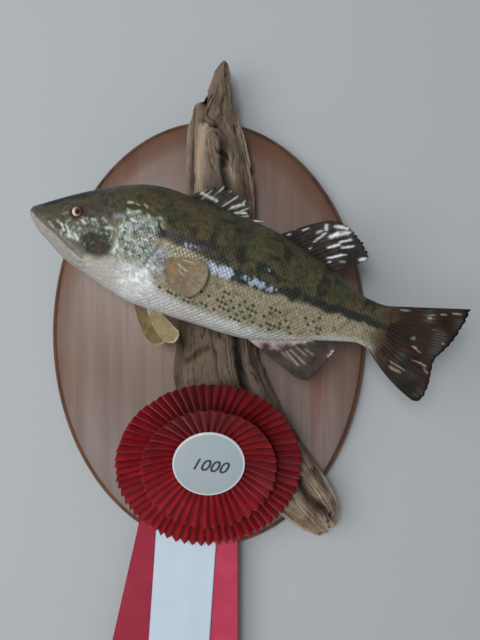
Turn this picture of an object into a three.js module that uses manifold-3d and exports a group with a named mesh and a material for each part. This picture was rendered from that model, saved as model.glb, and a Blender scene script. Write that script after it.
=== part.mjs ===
// Mounted largemouth bass: the fish, its driftwood, an oval plaque and an award rosette.
// Millimetres, +Z up. The wall is the plane Y = 0 and the front faces -Y.
// The fish heads to -X and turns its left side to the front.

import * as THREE from 'three';
import { mergeVertices } from 'three/addons/utils/BufferGeometryUtils.js';
import Module from 'manifold-3d';

const wasm = await Module();
wasm.setup();

const gap = 0.3; // left between pieces that touch
const sliver = 0.03; // facets thinner than this are merged away

// Plaque
const plaqueWidth = 300;
const plaqueHeight = 406;
const plaqueThickness = 19;
const plaqueSides = 44;
const hangerWidth = 46;
const hangerHeight = 9;
const hangerRise = 150; // height of the hanger above the middle of the plaque
const hangerThickness = 1.2;
const hangerEnd = 5; // its plain length at each end of the teeth
const hangerTeeth = 9;
const toothPitch = 3.6;
const toothDepth = 1.6;
const recessDepth = 3;
const recessMargin = 4;

// Fish, along its own long axis: x from the snout, z towards the back fin, -y to the left side
const snoutPlace = new THREE.Vector3(-146.4, -80, 105.6);
const noseUp = THREE.MathUtils.degToRad(19.25);
const fleshLength = 317; // snout to the end of the tail stock
const headEnd = 96; // where the skull ends under the gill covers
const trunkEnd = 262; // behind the soft back fin and the anal fin
const headBow = 12; // how far the snout stands out in front of the middle of the body
const tailBow = 10; // how far the tail does, one bow length behind the middle
const bowMiddle = 150;
const tailBowLength = 160;
const bodyStations = 29;
const bodySides = 18;
const finEdgeThickness = 0.8;
const webDrop = 0.12; // how far a fin's web lies below its rays
const gillCoverThickness = 3.5;
const jawPlateThickness = 1.6;
const eyeX = 40.3;
const eyeZ = 10.7;
const skullHalfWidth = 18.2; // at the eye
const eyeRadius = 6;
const eyeStandsOut = 1.7;

// Rosette
const rosettePlace = new THREE.Vector3(1.2, -52, -113.8);
const rosetteLean = THREE.MathUtils.degToRad(21); // its face looks down
const rosetteRoll = THREE.MathUtils.degToRad(-8);
const outerRingRadius = 82.5;
const innerRingRadius = 60;
const buttonRadius = 32.5;
const backingRadius = 34;
const backingForward = -8; // its back, along the rosette's own axis
const outerPleats = 66;
const innerPleats = 42;
const ribbonThickness = 0.9;

// Streamers
const streamerWidth = 57;
const streamerTop = -150;
const streamerLength = 268;

// Shared shape helpers

// A smooth curve through [x, y] pairs, as a function of x.
function curveThrough(pairs) {
  const slope = pairs.map((pair, i) => {
    const before = pairs[Math.max(i - 1, 0)];
    const after = pairs[Math.min(i + 1, pairs.length - 1)];
    return (after[1] - before[1]) / (after[0] - before[0]);
  });
  return (x) => {
    let i = 0;
    while (i < pairs.length - 2 && x > pairs[i + 1][0]) {
      i += 1;
    }
    const [x0, y0] = pairs[i];
    const [x1, y1] = pairs[i + 1];
    const t = THREE.MathUtils.clamp((x - x0) / (x1 - x0), 0, 1);
    const rise = (x1 - x0) * (slope[i] * t * (1 - t) ** 2 - slope[i + 1] * t ** 2 * (1 - t));
    return y0 + (y1 - y0) * t * t * (3 - 2 * t) + rise;
  };
}

// A closed surface from points and triangles, turned so that its faces point out.
function closedGeometry(points, faces) {
  let volume = 0;
  for (let i = 0; i < faces.length; i += 3) {
    const [a, b, c] = [points[faces[i]], points[faces[i + 1]], points[faces[i + 2]]];
    volume += a.dot(b.clone().cross(c));
  }
  const geometry = new THREE.BufferGeometry().setFromPoints(points);
  geometry.setIndex(volume > 0 ? faces : faces.toReversed());
  return geometry;
}

// A surface over rings of equal point count. An open row gets a fan at each end.
function skinOver(rings, joinsUp = false) {
  const count = rings[0].length;
  const points = rings.flat();
  const faces = [];
  const lastRow = joinsUp ? rings.length : rings.length - 1;
  for (let i = 0; i < lastRow; i += 1) {
    const here = i * count;
    const next = ((i + 1) % rings.length) * count;
    for (let k = 0; k < count; k += 1) {
      const side = (k + 1) % count;
      faces.push(here + k, next + k, here + side, here + side, next + k, next + side);
    }
  }
  if (!joinsUp) {
    [0, rings.length - 1].forEach((row) => {
      const middle = new THREE.Vector3();
      rings[row].forEach((p) => middle.addScaledVector(p, 1 / count));
      points.push(middle);
      for (let k = 0; k < count; k += 1) {
        const a = row * count + k;
        const b = row * count + ((k + 1) % count);
        faces.push(...(row === 0 ? [points.length - 1, a, b] : [points.length - 1, b, a]));
      }
    });
  }
  return closedGeometry(points, faces);
}

function solidOf(geometry) {
  const bare = geometry.clone();
  bare.deleteAttribute('normal');
  bare.deleteAttribute('uv');
  const merged = mergeVertices(bare, 1e-4);
  return new wasm.Manifold(
    new wasm.Mesh({
      numProp: 3,
      vertProperties: new Float32Array(merged.getAttribute('position').array),
      triVerts: new Uint32Array(merged.index.array),
    }),
  );
}

function geometryOf(solid) {
  const { vertProperties, triVerts } = solid.asOriginal().simplify(sliver).getMesh();
  const geometry = new THREE.BufferGeometry();
  geometry.setAttribute('position', new THREE.Float32BufferAttribute(vertProperties, 3));
  geometry.setIndex(Array.from(triVerts));
  return geometry;
}

function addNode(parent, name, shape, look) {
  const geometry = shape instanceof wasm.Manifold ? geometryOf(shape) : shape;
  const mesh = new THREE.Mesh(geometry, new THREE.MeshStandardMaterial(look));
  mesh.name = name;
  parent.add(mesh);
  return mesh;
}

function box(low, high) {
  const size = high.clone().sub(low);
  const middle = low.clone().add(high).multiplyScalar(0.5);
  return solidOf(new THREE.BoxGeometry(size.x, size.y, size.z).translate(...middle.toArray()));
}

// A disc or ring turned about the Y axis from [radius, forward] pairs, forward being -Y.
function turned(profile, sides) {
  const points = profile.map(([radius, forward]) => new THREE.Vector2(radius, forward));
  return new THREE.LatheGeometry(points, sides).rotateX(Math.PI);
}

// An outline in the XZ plane, given as Vector2 points, carried along Y from yBack to yFront.
function prism(outline, yBack, yFront) {
  const settings = { depth: yBack - yFront, bevelEnabled: false, steps: 1 };
  const geometry = new THREE.ExtrudeGeometry(new THREE.Shape(outline), settings);
  return solidOf(geometry.rotateX(Math.PI / 2).translate(0, yBack, 0));
}

// A rounded closed outline through a few corner points.
function roundedOutline(corners, steps) {
  const points = corners.map(([x, z]) => new THREE.Vector3(x, z, 0));
  const curve = new THREE.CatmullRomCurve3(points, true, 'centripetal');
  return curve.getPoints(steps).slice(0, steps).map((p) => new THREE.Vector2(p.x, p.y));
}

// The outline moved out by a distance, for a closed row of points.
function outset(outline, distance) {
  const turn = Math.sign(THREE.ShapeUtils.area(outline));
  return outline.map((point, i) => {
    const before = outline[(i + outline.length - 1) % outline.length];
    const after = outline[(i + 1) % outline.length];
    const along = after.clone().sub(before).normalize();
    const outward = new THREE.Vector2(along.y, -along.x).multiplyScalar(turn);
    return point.clone().addScaledVector(outward, distance);
  });
}

const object = new THREE.Group();
const fish = new THREE.Group();
const rosette = new THREE.Group();
object.add(fish, rosette);
fish.position.copy(snoutPlace);
fish.rotation.y = noseUp;
rosette.position.copy(rosettePlace);
rosette.rotation.set(rosetteLean, rosetteRoll, 0, 'YXZ');
object.updateMatrixWorld(true);

// Fish body

const backLine = curveThrough([
  [0, 1.2], [2.5, 4.9], [8, 9], [18.5, 16.9], [30, 25.3], [44, 34.4], [56, 41.3], [66, 46.9],
  [86, 54.4], [108, 57.3], [167, 55.2], [204, 52.2], [243, 42.3], [277, 28], [287, 25],
  [296, 23.6], [306, 23], [317, 24.5],
]);
const bellyLine = curveThrough([
  [0, -1.2], [2, -5], [6, -9.6], [12, -14.8], [18.6, -18.9], [28, -24.4], [40, -30.5], [50, -33.8],
  [60, -36.5], [70, -39.4], [82, -43.2], [92, -45.3], [107, -46.9], [130, -47.3], [166, -45.8],
  [186, -45.4], [210, -42.9], [222, -38.9], [243, -32.5], [260, -26], [284, -18.4], [292, -16.1],
  [299, -15.6], [306, -17.4], [317, -22.6],
]);
const sideLine = curveThrough([
  [0, 3.5], [3, 8], [10, 12], [20, 14.8], [35, 18.5], [60, 24], [85, 28.5], [110, 30.5],
  [140, 31], [175, 29], [210, 24], [243, 17.5], [277, 10.5], [296, 7], [317, 3.2],
]);
const widestLine = curveThrough([
  [0, 0], [20, -2], [60, 0], [110, 5], [170, 7], [243, 4], [317, 0.5],
]);
const backFullness = curveThrough([[0, 2.4], [60, 2.3], [120, 2.05], [220, 1.9], [317, 2.2]]);
const bellyFullness = curveThrough([[0, 2.2], [60, 2.1], [120, 2.3], [220, 2.1], [317, 2.2]]);

// How far the body's middle stands out in front of the group's own plane.
function bow(x) {
  return x < bowMiddle
    ? headBow * ((x - bowMiddle) / bowMiddle) ** 2
    : tailBow * ((x - bowMiddle) / tailBowLength) ** 2;
}

// A point of the body's skin, moved in by inset. Turn 0 is the back, a quarter turn the left side.
function skinPoint(x, turn, inset) {
  const up = Math.cos(turn);
  const widest = widestLine(x);
  const power = 2 / (up > 0 ? backFullness(x) : bellyFullness(x));
  const reach = up > 0 ? backLine(x) - inset - widest : widest - bellyLine(x) - inset;
  const height = widest + Math.sign(up) * Math.max(reach, 0.4) * Math.abs(up) ** power;
  const side = Math.sin(turn);
  const out = Math.sign(side) * Math.max(sideLine(x) - inset, 0.4) * Math.abs(side) ** power;
  return new THREE.Vector3(x, -bow(x) - out, height);
}

function bodySolid(inset) {
  const rings = [];
  for (let i = 0; i <= bodyStations; i += 1) {
    const along = i / bodyStations;
    const x = inset + (fleshLength - 2 * inset) * (0.35 * along * along + 0.65 * along);
    const ring = [];
    for (let k = 0; k < bodySides; k += 1) {
      ring.push(skinPoint(x, (2 * Math.PI * k) / bodySides, inset));
    }
    rings.push(ring);
  }
  return solidOf(skinOver(rings));
}

function lengthOfBody(from, to) {
  return box(new THREE.Vector3(from, -200, -200), new THREE.Vector3(to, 200, 200));
}

// A plate of the body's surface inside an outline, on the left (-1) or right (1) side. Its column
// stops short of the body's middle, which stands forward of the group's plane here.
function surfacePlate(body, outline, thickness, side) {
  const column = side < 0 ? prism(outline, -8, -90) : prism(outline, 90, 0);
  return body.intersect(column).subtract(bodySolid(thickness));
}

const fleshLook = { color: 0x6b6a3f, roughness: 0.35, metalness: 0 };
const paleFleshLook = { color: 0xb9b7a4, roughness: 0.35, metalness: 0 };
const finLook = { color: 0x4a3a28, roughness: 0.3, metalness: 0 };
const paleFinLook = { color: 0xa8935e, roughness: 0.3, metalness: 0 };
const eyeLook = { color: 0x8a5a28, roughness: 0.05, metalness: 0 };
const boardLook = { color: 0x7a6157, roughness: 0.6, metalness: 0 };
const driftwoodLook = { color: 0x93826a, roughness: 0.9, metalness: 0 };
const steelLook = { color: 0x9a9a98, roughness: 0.4, metalness: 1 };
const redLook = { color: 0x8c1928, roughness: 0.55, metalness: 0 };
const whiteLook = { color: 0xc3cddc, roughness: 0.5, metalness: 0 };
const cardLook = { color: 0xd8d4c8, roughness: 0.8, metalness: 0 };

const gillCoverOutline = roundedOutline([
  [74, 22], [84, 30], [98, 29.5], [108, 24.5], [115, 17], [114, 6], [110, -6],
  [104.5, -17], [91.5, -28.5], [74, -34], [66, -28], [74.5, -13], [77, 5],
], 26);
const cheekPlateOutline = roundedOutline([
  [15, -4.6], [26, -5.6], [37, -7.4], [49.5, -10.2], [56.5, -13.5], [58.5, -19],
  [54.5, -24], [46, -20.2], [34, -14.6], [22, -9],
], 20);
const jawOutline = [
  [-6, 1], [5.6, -1], [17.8, -7.2], [34, -15], [54, -24.4], [62, -27.5], [66, -60], [-6, -60],
].map(([x, z]) => new THREE.Vector2(x, z));

const wholeBody = bodySolid(0);
const bodyClearance = bodySolid(-gap);

function addFlesh() {
  const plates = [
    { name: 'gill_cover', outline: gillCoverOutline, thickness: gillCoverThickness },
    { name: 'upper_jaw_plate', outline: cheekPlateOutline, thickness: jawPlateThickness },
  ];
  let rest = wholeBody;
  [[-1, 'left'], [1, 'right']].forEach(([side, word]) => {
    plates.forEach(({ name, outline, thickness }) => {
      addNode(fish, `${name}_${word}`, surfacePlate(wholeBody, outline, thickness, side), fleshLook);
      rest = rest.subtract(surfacePlate(bodyClearance, outset(outline, gap), thickness + gap, side));
    });
    rest = rest.subtract(solidOf(eyeball(side, eyeRadius + gap)));
    addNode(fish, `eye_${word}`, eyeball(side, eyeRadius), eyeLook);
  });
  const front = rest.intersect(lengthOfBody(-10, headEnd));
  addNode(fish, 'lower_jaw', front.intersect(prism(jawOutline, 90, -90)), paleFleshLook);
  addNode(fish, 'head', front.subtract(prism(outset(jawOutline, gap), 95, -95)), fleshLook);
  addNode(fish, 'trunk', rest.intersect(lengthOfBody(headEnd + gap, trunkEnd)), fleshLook);
  addNode(fish, 'tail_stock', rest.intersect(lengthOfBody(trunkEnd + gap, 400)), fleshLook);
}

// The eye sits a little above the widest line, most of it inside the skull.
function eyeball(side, radius) {
  const place = new THREE.Vector3(eyeX, -bow(eyeX), eyeZ);
  place.y += side * (skullHalfWidth + eyeStandsOut - eyeRadius);
  return new THREE.SphereGeometry(radius, 14, 9).translate(...place.toArray());
}

// Fins

// A curve through [x, z, out] points in the fish's own axes, out being the distance to the left of
// the body's bowed middle.
function finLine(points) {
  return new THREE.CatmullRomCurve3(points.map(([x, z, out = 0]) => new THREE.Vector3(x, out, z)));
}

// A plate from its root line to its free edge, stiffened by rays. Between the rays the web is drawn
// in by notch, the rear of the fin sags by swell and its middle stands out by rise.
function rayedFin({ root, edge, rays, rootThickness, notch = 0, swell = 0, rise = 0 }) {
  const rootCurve = finLine(root);
  const edgeCurve = finLine(edge);
  const rows = 2;
  const columns = 2 * rays - 1;
  const rings = [];
  for (let i = 0; i < columns; i += 1) {
    const across = i / (columns - 1);
    const onRay = i % 2 === 0;
    const from = rootCurve.getPointAt(across);
    const to = edgeCurve.getPointAt(across);
    to.lerp(from, onRay ? 0 : notch);
    const front = [];
    const back = [];
    for (let j = 0; j <= rows; j += 1) {
      const out = j / rows;
      const bulge = 4 * out * (1 - out);
      const place = from.clone().lerp(to, out);
      place.z += swell * across * bulge;
      place.y = -bow(place.x) - place.y - rise * bulge;
      const thickness = THREE.MathUtils.lerp(rootThickness, finEdgeThickness, out);
      const half = thickness / 2 - (onRay ? 0 : webDrop);
      front.push(place.clone().setY(place.y - half));
      back.unshift(place.clone().setY(place.y + half));
    }
    rings.push([...front, ...back]);
  }
  return solidOf(skinOver(rings)).subtract(bodyClearance);
}

function addFins() {
  addNode(fish, 'dorsal_fin_spiny', rayedFin({
    root: [[118, 53.6], [133, 54], [148, 53.6], [160, 53.2], [176, 52.2]],
    edge: [
      [128, 63.5], [136, 70], [144, 75.2], [152, 76.2], [160, 72.6], [168, 70.4], [173.3, 66.5],
      [173.4, 60.5], [178, 56.3], [190, 57.8],
    ],
    rays: 11,
    rootThickness: 2.6,
    notch: 0.18,
  }), finLook);
  addNode(fish, 'dorsal_fin_soft', rayedFin({
    root: [[203, 49.5], [222, 45.5], [240, 40], [256, 34.3]],
    edge: [
      [205, 55.2], [216, 61.5], [225, 66], [231, 71.5], [240, 76], [250, 77.6], [260, 75.8],
      [268, 71.2], [276.5, 65.2], [281.6, 58.5], [281.8, 53.8],
    ],
    rays: 12,
    rootThickness: 2.4,
    notch: 0.04,
  }), finLook);
  addNode(fish, 'tail_fin', rayedFin({
    root: [[303, 20.6], [312, 10], [314, 0], [312, -10], [306, -16.6]],
    edge: [
      [374.6, 42.3], [373.9, 34.5], [372.4, 25.5], [370.2, 15.5], [366, 4.5], [361.6, -3.5],
      [360.2, -10.5], [361.4, -20], [362.2, -30], [361.2, -39.5], [358, -44.8], [354, -45.3],
    ],
    rays: 15,
    rootThickness: 4.4,
    notch: 0.012,
    swell: -3.5,
  }), finLook);
  addNode(fish, 'anal_fin', rayedFin({
    root: [[206, -42], [223, -37.2], [241, -31.6], [256, -25.8]],
    edge: [
      [226.5, -48.2], [243, -55], [258, -60.4], [269, -58.5], [275, -47], [278, -36.5], [282, -24.5],
    ],
    rays: 12,
    rootThickness: 2.4,
    notch: 0.03,
  }), paleFinLook);
  addNode(fish, 'pectoral_fin_left', rayedFin({
    root: [[122.5, -1, 29], [123.5, -6, 29], [124, -11.5, 28.5]],
    edge: [
      [150, 6.5, 35], [157, 3.5, 36], [160.3, -4, 36], [159.5, -15, 36], [152, -25, 35], [139, -25, 34],
    ],
    rays: 11,
    rootThickness: 3,
    swell: -2.5,
    rise: 1.5,
  }), paleFinLook);
  addNode(fish, 'pectoral_fin_right', rayedFin({
    root: [[126, -2, -29], [123.5, -6, -29], [120, -11.5, -28.5]],
    edge: [
      [137, -19, -32], [137, -29, -33], [131, -37, -33], [124, -38.5, -33], [117.5, -34, -33],
      [115, -25, -32],
    ],
    rays: 9,
    rootThickness: 3,
    rise: -1,
  }), paleFinLook);
  addNode(fish, 'pelvic_fin_left', rayedFin({
    root: [[123, -42, 6], [119.5, -42.5, 7], [116, -42.5, 7]],
    edge: [
      [151, -55.4, 12], [152.6, -59.5, 13], [151.5, -64.5, 13], [147.5, -67, 13], [141.5, -67, 12],
    ],
    rays: 7,
    rootThickness: 2.6,
    swell: -4,
  }), paleFinLook);
  addNode(fish, 'pelvic_fin_right', rayedFin({
    root: [[118, -43, -5], [111, -43, -6], [103.5, -42.5, -6]],
    edge: [
      [141.5, -64.5, -9], [141.5, -69, -10], [138, -73, -10], [134, -75.2, -10], [129, -73.2, -9],
    ],
    rays: 7,
    rootThickness: 2.6,
    swell: -4.5,
  }), paleFinLook);
}

// Driftwood: a tapering limb, upright above and bending to the tail side below.
// Stations are [x, z, half width, front], the front being its distance from the wall.
const driftwoodStations = [
  [15.4, 251.8, 2.5, 36], [12.8, 243, 6.8, 38.5], [11.6, 232, 9.4, 40.5], [10.6, 219, 13, 43],
  [6.2, 207, 19.2, 45.5], [5.4, 193, 22.5, 47], [9, 166, 26.5, 49.5], [12, 128, 30, 51],
  [11.5, 60, 34, 53], [8, -10, 36, 52], [12, -46, 41, 53], [34, -84, 36, 50],
  [60, -119, 31.5, 40], [86, -150, 25, 37.5], [102, -170, 18, 34], [108.5, -179.5, 9, 31],
];
const driftwoodSides = 16;
const driftwoodSteps = 26;
const driftwoodWobble = 1.6;

// The section's reach as a share of its plain oval: broad weathered ridges and one long cleft.
function driftwoodReach(turn, along) {
  const ridges = 0.05 * Math.sin(5 * turn + 4 * along) + 0.035 * Math.sin(9 * turn - 11 * along);
  const cleftTurn = 1.25 + 0.9 * along;
  const cleft = 0.3 * Math.exp(-(((turn - cleftTurn) / 0.22) ** 2)) * Math.sin(Math.PI * along) ** 0.5;
  return 1 + ridges - cleft;
}

function driftwoodSolid() {
  const places = driftwoodStations.map(([x, z]) => new THREE.Vector3(x, 0, z));
  const girths = driftwoodStations.map(([, , width, front]) => new THREE.Vector3(width, front, 0));
  const path = new THREE.CatmullRomCurve3(places);
  const girth = new THREE.CatmullRomCurve3(girths);
  const back = plaqueThickness + gap;
  const rings = [];
  for (let i = 0; i <= driftwoodSteps; i += 1) {
    const along = i / driftwoodSteps;
    const middle = path.getPoint(along);
    const direction = path.getTangent(along);
    const { x: halfWidth, y: front } = girth.getPoint(along);
    const ring = [];
    for (let k = 0; k < driftwoodSides; k += 1) {
      const turn = (2 * Math.PI * k) / driftwoodSides;
      const reach = driftwoodReach(turn, along);
      const sideways = Math.cos(turn);
      const across = -Math.sign(sideways) * Math.abs(sideways) ** 0.75 * halfWidth * reach;
      const forward = back + (front - back) * (0.5 + 0.5 * Math.sin(turn) * reach);
      const wobble = driftwoodWobble * Math.sin(23 * along + 2 * turn) * sideways ** 2;
      ring.push(new THREE.Vector3(
        middle.x - direction.z * across + wobble,
        -Math.max(forward, back),
        middle.z + direction.x * across,
      ));
    }
    rings.push(ring);
  }
  const fishSeat = geometryOf(bodySolid(-gap)).applyMatrix4(fish.matrixWorld);
  const rosetteSeat = backingDisc(gap).applyMatrix4(rosette.matrixWorld);
  return solidOf(skinOver(rings)).subtract(solidOf(fishSeat)).subtract(solidOf(rosetteSeat));
}

// Plaque: an oval board with a moulded edge, a recess for its hanger at the back.
function plaqueSolid() {
  const profile = [
    [0, 0], [0, -9], [1.4, -11.8], [4.2, -13], [5.4, -16], [7.3, -plaqueThickness],
  ];
  const rings = profile.map(([inset, y]) => {
    const ring = [];
    for (let k = 0; k < plaqueSides; k += 1) {
      const turn = (2 * Math.PI * k) / plaqueSides;
      const x = (plaqueWidth / 2 - inset) * Math.cos(turn);
      const z = (plaqueHeight / 2 - inset) * Math.sin(turn);
      ring.push(new THREE.Vector3(x, y, z));
    }
    return ring;
  });
  const halfWidth = hangerWidth / 2 + recessMargin;
  const halfHeight = hangerHeight / 2 + recessMargin;
  const recess = box(
    new THREE.Vector3(-halfWidth, -recessDepth, hangerRise - halfHeight),
    new THREE.Vector3(halfWidth, 1, hangerRise + halfHeight),
  );
  return solidOf(skinOver(rings)).subtract(recess);
}

// A steel strip whose long lower edge is arched and cut into teeth.
function hangerSolid() {
  const side = hangerWidth / 2;
  const bottom = hangerRise - hangerHeight / 2;
  const top = hangerRise + hangerHeight / 2;
  const arch = hangerRise + 1;
  const teeth = [];
  for (let i = 0; i <= 2 * hangerTeeth; i += 1) {
    const x = (i / 2 - hangerTeeth / 2) * toothPitch;
    teeth.push([x, i % 2 === 0 ? arch - toothDepth : arch]);
  }
  const corners = [
    [-side, bottom], [-side + hangerEnd, bottom], ...teeth, [side - hangerEnd, bottom],
    [side, bottom], [side, top], [-side, top],
  ];
  const outline = corners.map(([x, z]) => new THREE.Vector2(x, z));
  return prism(outline, gap + hangerThickness - recessDepth, gap - recessDepth);
}

// A ring of folded ribbon about the rosette's own axis, dished forward towards its outer edge.
function pleatedRing({ pleats, innerRadius, outerRadius, innerForward, outerForward, depth }) {
  const rings = [];
  for (let i = 0; i < 2 * pleats; i += 1) {
    const turn = (Math.PI * i) / pleats;
    const fold = i % 2 === 0 ? 0.5 : -0.5;
    const spoke = (radius, forward) => new THREE.Vector3(
      radius * Math.cos(turn), -forward, radius * Math.sin(turn),
    );
    const reach = outerRadius - (fold < 0 ? 1.2 : 0);
    rings.push([
      spoke(innerRadius, innerForward + fold * depth * 0.4),
      spoke(reach, outerForward + fold * depth),
      spoke(reach, outerForward + fold * depth - ribbonThickness),
    ]);
  }
  return skinOver(rings, true);
}

// The card disc behind the ribbon, grown by a clearance.
function backingDisc(clearance) {
  const radius = backingRadius + clearance;
  const back = backingForward - clearance;
  const front = backingForward + 1.5 + clearance;
  return turned([[0, back], [radius, back], [radius, front], [0, front]], 24);
}

function addRosette() {
  addNode(rosette, 'rosette_outer_ring', pleatedRing({
    pleats: outerPleats,
    innerRadius: 30,
    outerRadius: outerRingRadius,
    innerForward: -3.6,
    outerForward: 10,
    depth: 6,
  }), redLook);
  addNode(rosette, 'rosette_inner_ring', pleatedRing({
    pleats: innerPleats,
    innerRadius: 28,
    outerRadius: innerRingRadius,
    innerForward: 0,
    outerForward: 15,
    depth: 5,
  }), redLook);
  addNode(rosette, 'rosette_button', turned([
    [0, 2.2], [buttonRadius - 4, 2.2], [buttonRadius, 4], [buttonRadius - 1, 5.6], [0, 6.4],
  ], 28), whiteLook);
  addNode(rosette, 'rosette_backing', backingDisc(0), cardLook);
}

// Three ribbon tails. Each leaves the back of the rosette, passes the plaque and hangs free.
const streamers = [
  { name: 'streamer_left', topX: -31, lean: 12.8, layer: 0, look: redLook },
  { name: 'streamer_right', topX: -1, lean: 0, layer: 1, look: redLook },
  { name: 'streamer_centre', topX: -18.5, lean: 3.9, layer: 2, look: whiteLook },
];
const layerPitch = 1.3;
const streamerClearance = 2; // between the plaque and the rearmost tail
const streamerLift = 9; // how much further forward a tail starts, at the rosette's back
const liftLength = 22; // over which that dies away
const notchDepth = 16; // of the swallow-tailed end

function streamerSolid({ topX, lean, layer }) {
  const slant = Math.tan(THREE.MathUtils.degToRad(lean));
  const steps = 8;
  const rings = [];
  for (let i = 0; i <= steps; i += 1) {
    const drop = (streamerLength * i) / steps;
    const middle = topX - drop * slant;
    const lift = streamerLift * Math.exp(-drop / liftLength);
    const forward = plaqueThickness + streamerClearance + layer * layerPitch + lift;
    const z = streamerTop - drop;
    const tail = i === steps ? notchDepth : 0;
    const half = streamerWidth / 2;
    const place = (x, y, dz) => new THREE.Vector3(middle + x, -y, z + dz);
    rings.push([
      place(-half, forward, 0), place(0, forward, tail), place(half, forward, 0),
      place(half, forward + ribbonThickness, 0), place(0, forward + ribbonThickness, tail),
      place(-half, forward + ribbonThickness, 0),
    ]);
  }
  return skinOver(rings);
}

addNode(object, 'plaque', plaqueSolid(), boardLook);
addNode(object, 'plaque_hanger', hangerSolid(), steelLook);
addNode(object, 'driftwood', driftwoodSolid(), driftwoodLook);
addFlesh();
addFins();
addRosette();
streamers.forEach((streamer) => {
  addNode(object, streamer.name, streamerSolid(streamer), streamer.look);
});

export default object;
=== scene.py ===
import math

import bpy
import numpy as np
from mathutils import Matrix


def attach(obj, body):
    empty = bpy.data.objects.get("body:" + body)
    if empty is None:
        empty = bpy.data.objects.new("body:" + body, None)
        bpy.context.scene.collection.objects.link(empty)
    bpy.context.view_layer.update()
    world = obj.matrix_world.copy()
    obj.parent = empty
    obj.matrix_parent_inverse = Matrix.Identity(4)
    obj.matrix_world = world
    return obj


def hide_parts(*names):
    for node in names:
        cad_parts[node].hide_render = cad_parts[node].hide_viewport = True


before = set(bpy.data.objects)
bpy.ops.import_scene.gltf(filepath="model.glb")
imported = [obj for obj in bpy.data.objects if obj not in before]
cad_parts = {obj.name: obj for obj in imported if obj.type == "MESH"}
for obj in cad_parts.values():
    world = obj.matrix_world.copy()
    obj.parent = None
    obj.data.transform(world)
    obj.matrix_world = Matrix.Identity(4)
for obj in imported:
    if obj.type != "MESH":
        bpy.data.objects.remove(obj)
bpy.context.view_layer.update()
randomDraw = np.random.default_rng(20)
rootBody = "root"
print("frame loaded:", len(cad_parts), "nodes")


# small helpers for curves, fields and meshes

def curveThrough(pairs):
    # a smooth curve through (x, y) pairs, as a function of x
    xs, ys = np.array(pairs, float).T
    before = np.maximum(np.arange(len(xs)) - 1, 0)
    after = np.minimum(np.arange(len(xs)) + 1, len(xs) - 1)
    slopes = (ys[after] - ys[before]) / (xs[after] - xs[before])

    def at(x):
        x = np.asarray(x, float)
        i = np.clip(np.searchsorted(xs, x) - 1, 0, len(xs) - 2)
        run = xs[i + 1] - xs[i]
        t = np.clip((x - xs[i]) / run, 0, 1)
        lean = run * (slopes[i] * t * (1 - t) ** 2 - slopes[i + 1] * t * t * (1 - t))
        return ys[i] + (ys[i + 1] - ys[i]) * t * t * (3 - 2 * t) + lean

    return at


def smoothLine(points, steps, closed=False):
    # a smooth line through points of any dimension
    p = np.array(points, float)
    if closed:
        p = np.vstack([p[-1:], p, p[:2]])
    else:
        p = np.vstack([2 * p[0] - p[1], p, 2 * p[-1] - p[-2]])
    spans = len(p) - 3
    t = np.linspace(0, spans, steps, endpoint=not closed)
    i = np.minimum(t.astype(int), spans - 1)
    t = (t - i)[:, None]
    a, b, c, d = p[i], p[i + 1], p[i + 2], p[i + 3]
    bend, twist = 2 * a - 5 * b + 4 * c - d, 3 * b - a - 3 * c + d
    return 0.5 * (2 * b + (c - a) * t + bend * t ** 2 + twist * t ** 3)


def evenLine(points, steps):
    # the same line with its points at equal spacing
    fine = smoothLine(points, 400)
    run = np.concatenate([[0], np.cumsum(np.linalg.norm(np.diff(fine, axis=0), axis=1))])
    at = np.linspace(0, run[-1], steps)
    return np.stack([np.interp(at, run, fine[:, k]) for k in range(fine.shape[1])], -1)


def ease(low, high, value):
    # 0 below low, 1 above high, smooth between; low may be above high
    t = np.clip((value - low) / (high - low), 0, 1)
    return t * t * (3 - 2 * t)


def mound(distance, width):
    return np.exp(-(distance / width) ** 2)


def awayFrom(line, x, z):
    # distance to an open line of (x, z) points
    best = np.full(np.shape(x), 1e9)
    for (ax, az), (bx, bz) in zip(line[:-1], line[1:]):
        dx, dz = bx - ax, bz - az
        t = np.clip(((x - ax) * dx + (z - az) * dz) / (dx * dx + dz * dz), 0, 1)
        best = np.minimum(best, np.hypot(x - ax - t * dx, z - az - t * dz))
    return best


def insideOf(loop, x, z):
    # distance to a closed outline, positive inside it
    near = awayFrom(np.vstack([loop, loop[:1]]), x, z)
    crossings = np.zeros(np.shape(x), int)
    for (ax, az), (bx, bz) in zip(loop, np.roll(loop, -1, axis=0)):
        if az == bz:
            continue
        hit = ((az > z) != (bz > z)) & (x < (bx - ax) * (z - az) / (bz - az) + ax)
        crossings += hit
    return np.where(crossings % 2 == 1, near, -near)


def softNoise(points, size, seed):
    # smooth random values between -1 and 1 over points of any dimension
    lattice = np.random.default_rng(seed).uniform(-1, 1, (64,) * points.shape[-1])
    at = points / size
    low = np.floor(at).astype(int)
    part = at - low
    part = part * part * (3 - 2 * part)
    total = 0
    for corner in np.ndindex(*(2,) * points.shape[-1]):
        corner = np.array(corner)
        weight = np.prod(np.where(corner == 1, part, 1 - part), axis=-1)
        total = total + weight * lattice[tuple(np.moveaxis((low + corner) % 64, -1, 0))]
    return total


def readOff(pairs, x):
    # straight-line value at x of (x, value) pairs
    at, values = np.array(pairs, float).T
    return np.interp(x, at, values)


def frontAndBack(values):
    # a sheet's values for its front, then the same for its back in reverse
    return np.concatenate([values, values[:, ::-1]], 1)


def onMap(share):
    # a share of the way over the bake map, kept off its edges
    return 0.02 + 0.96 * share


def gridFaces(rows, columns, wrap=False):
    # quads over a grid of rows by columns, joined round the columns if wrap
    r = np.arange(rows - 1)[:, None] * columns
    c = np.arange(columns if wrap else columns - 1)[None, :]
    n = (c + 1) % columns
    return np.stack([r + c, r + n, r + columns + n, r + columns + c], -1).reshape(-1, 4)


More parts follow.
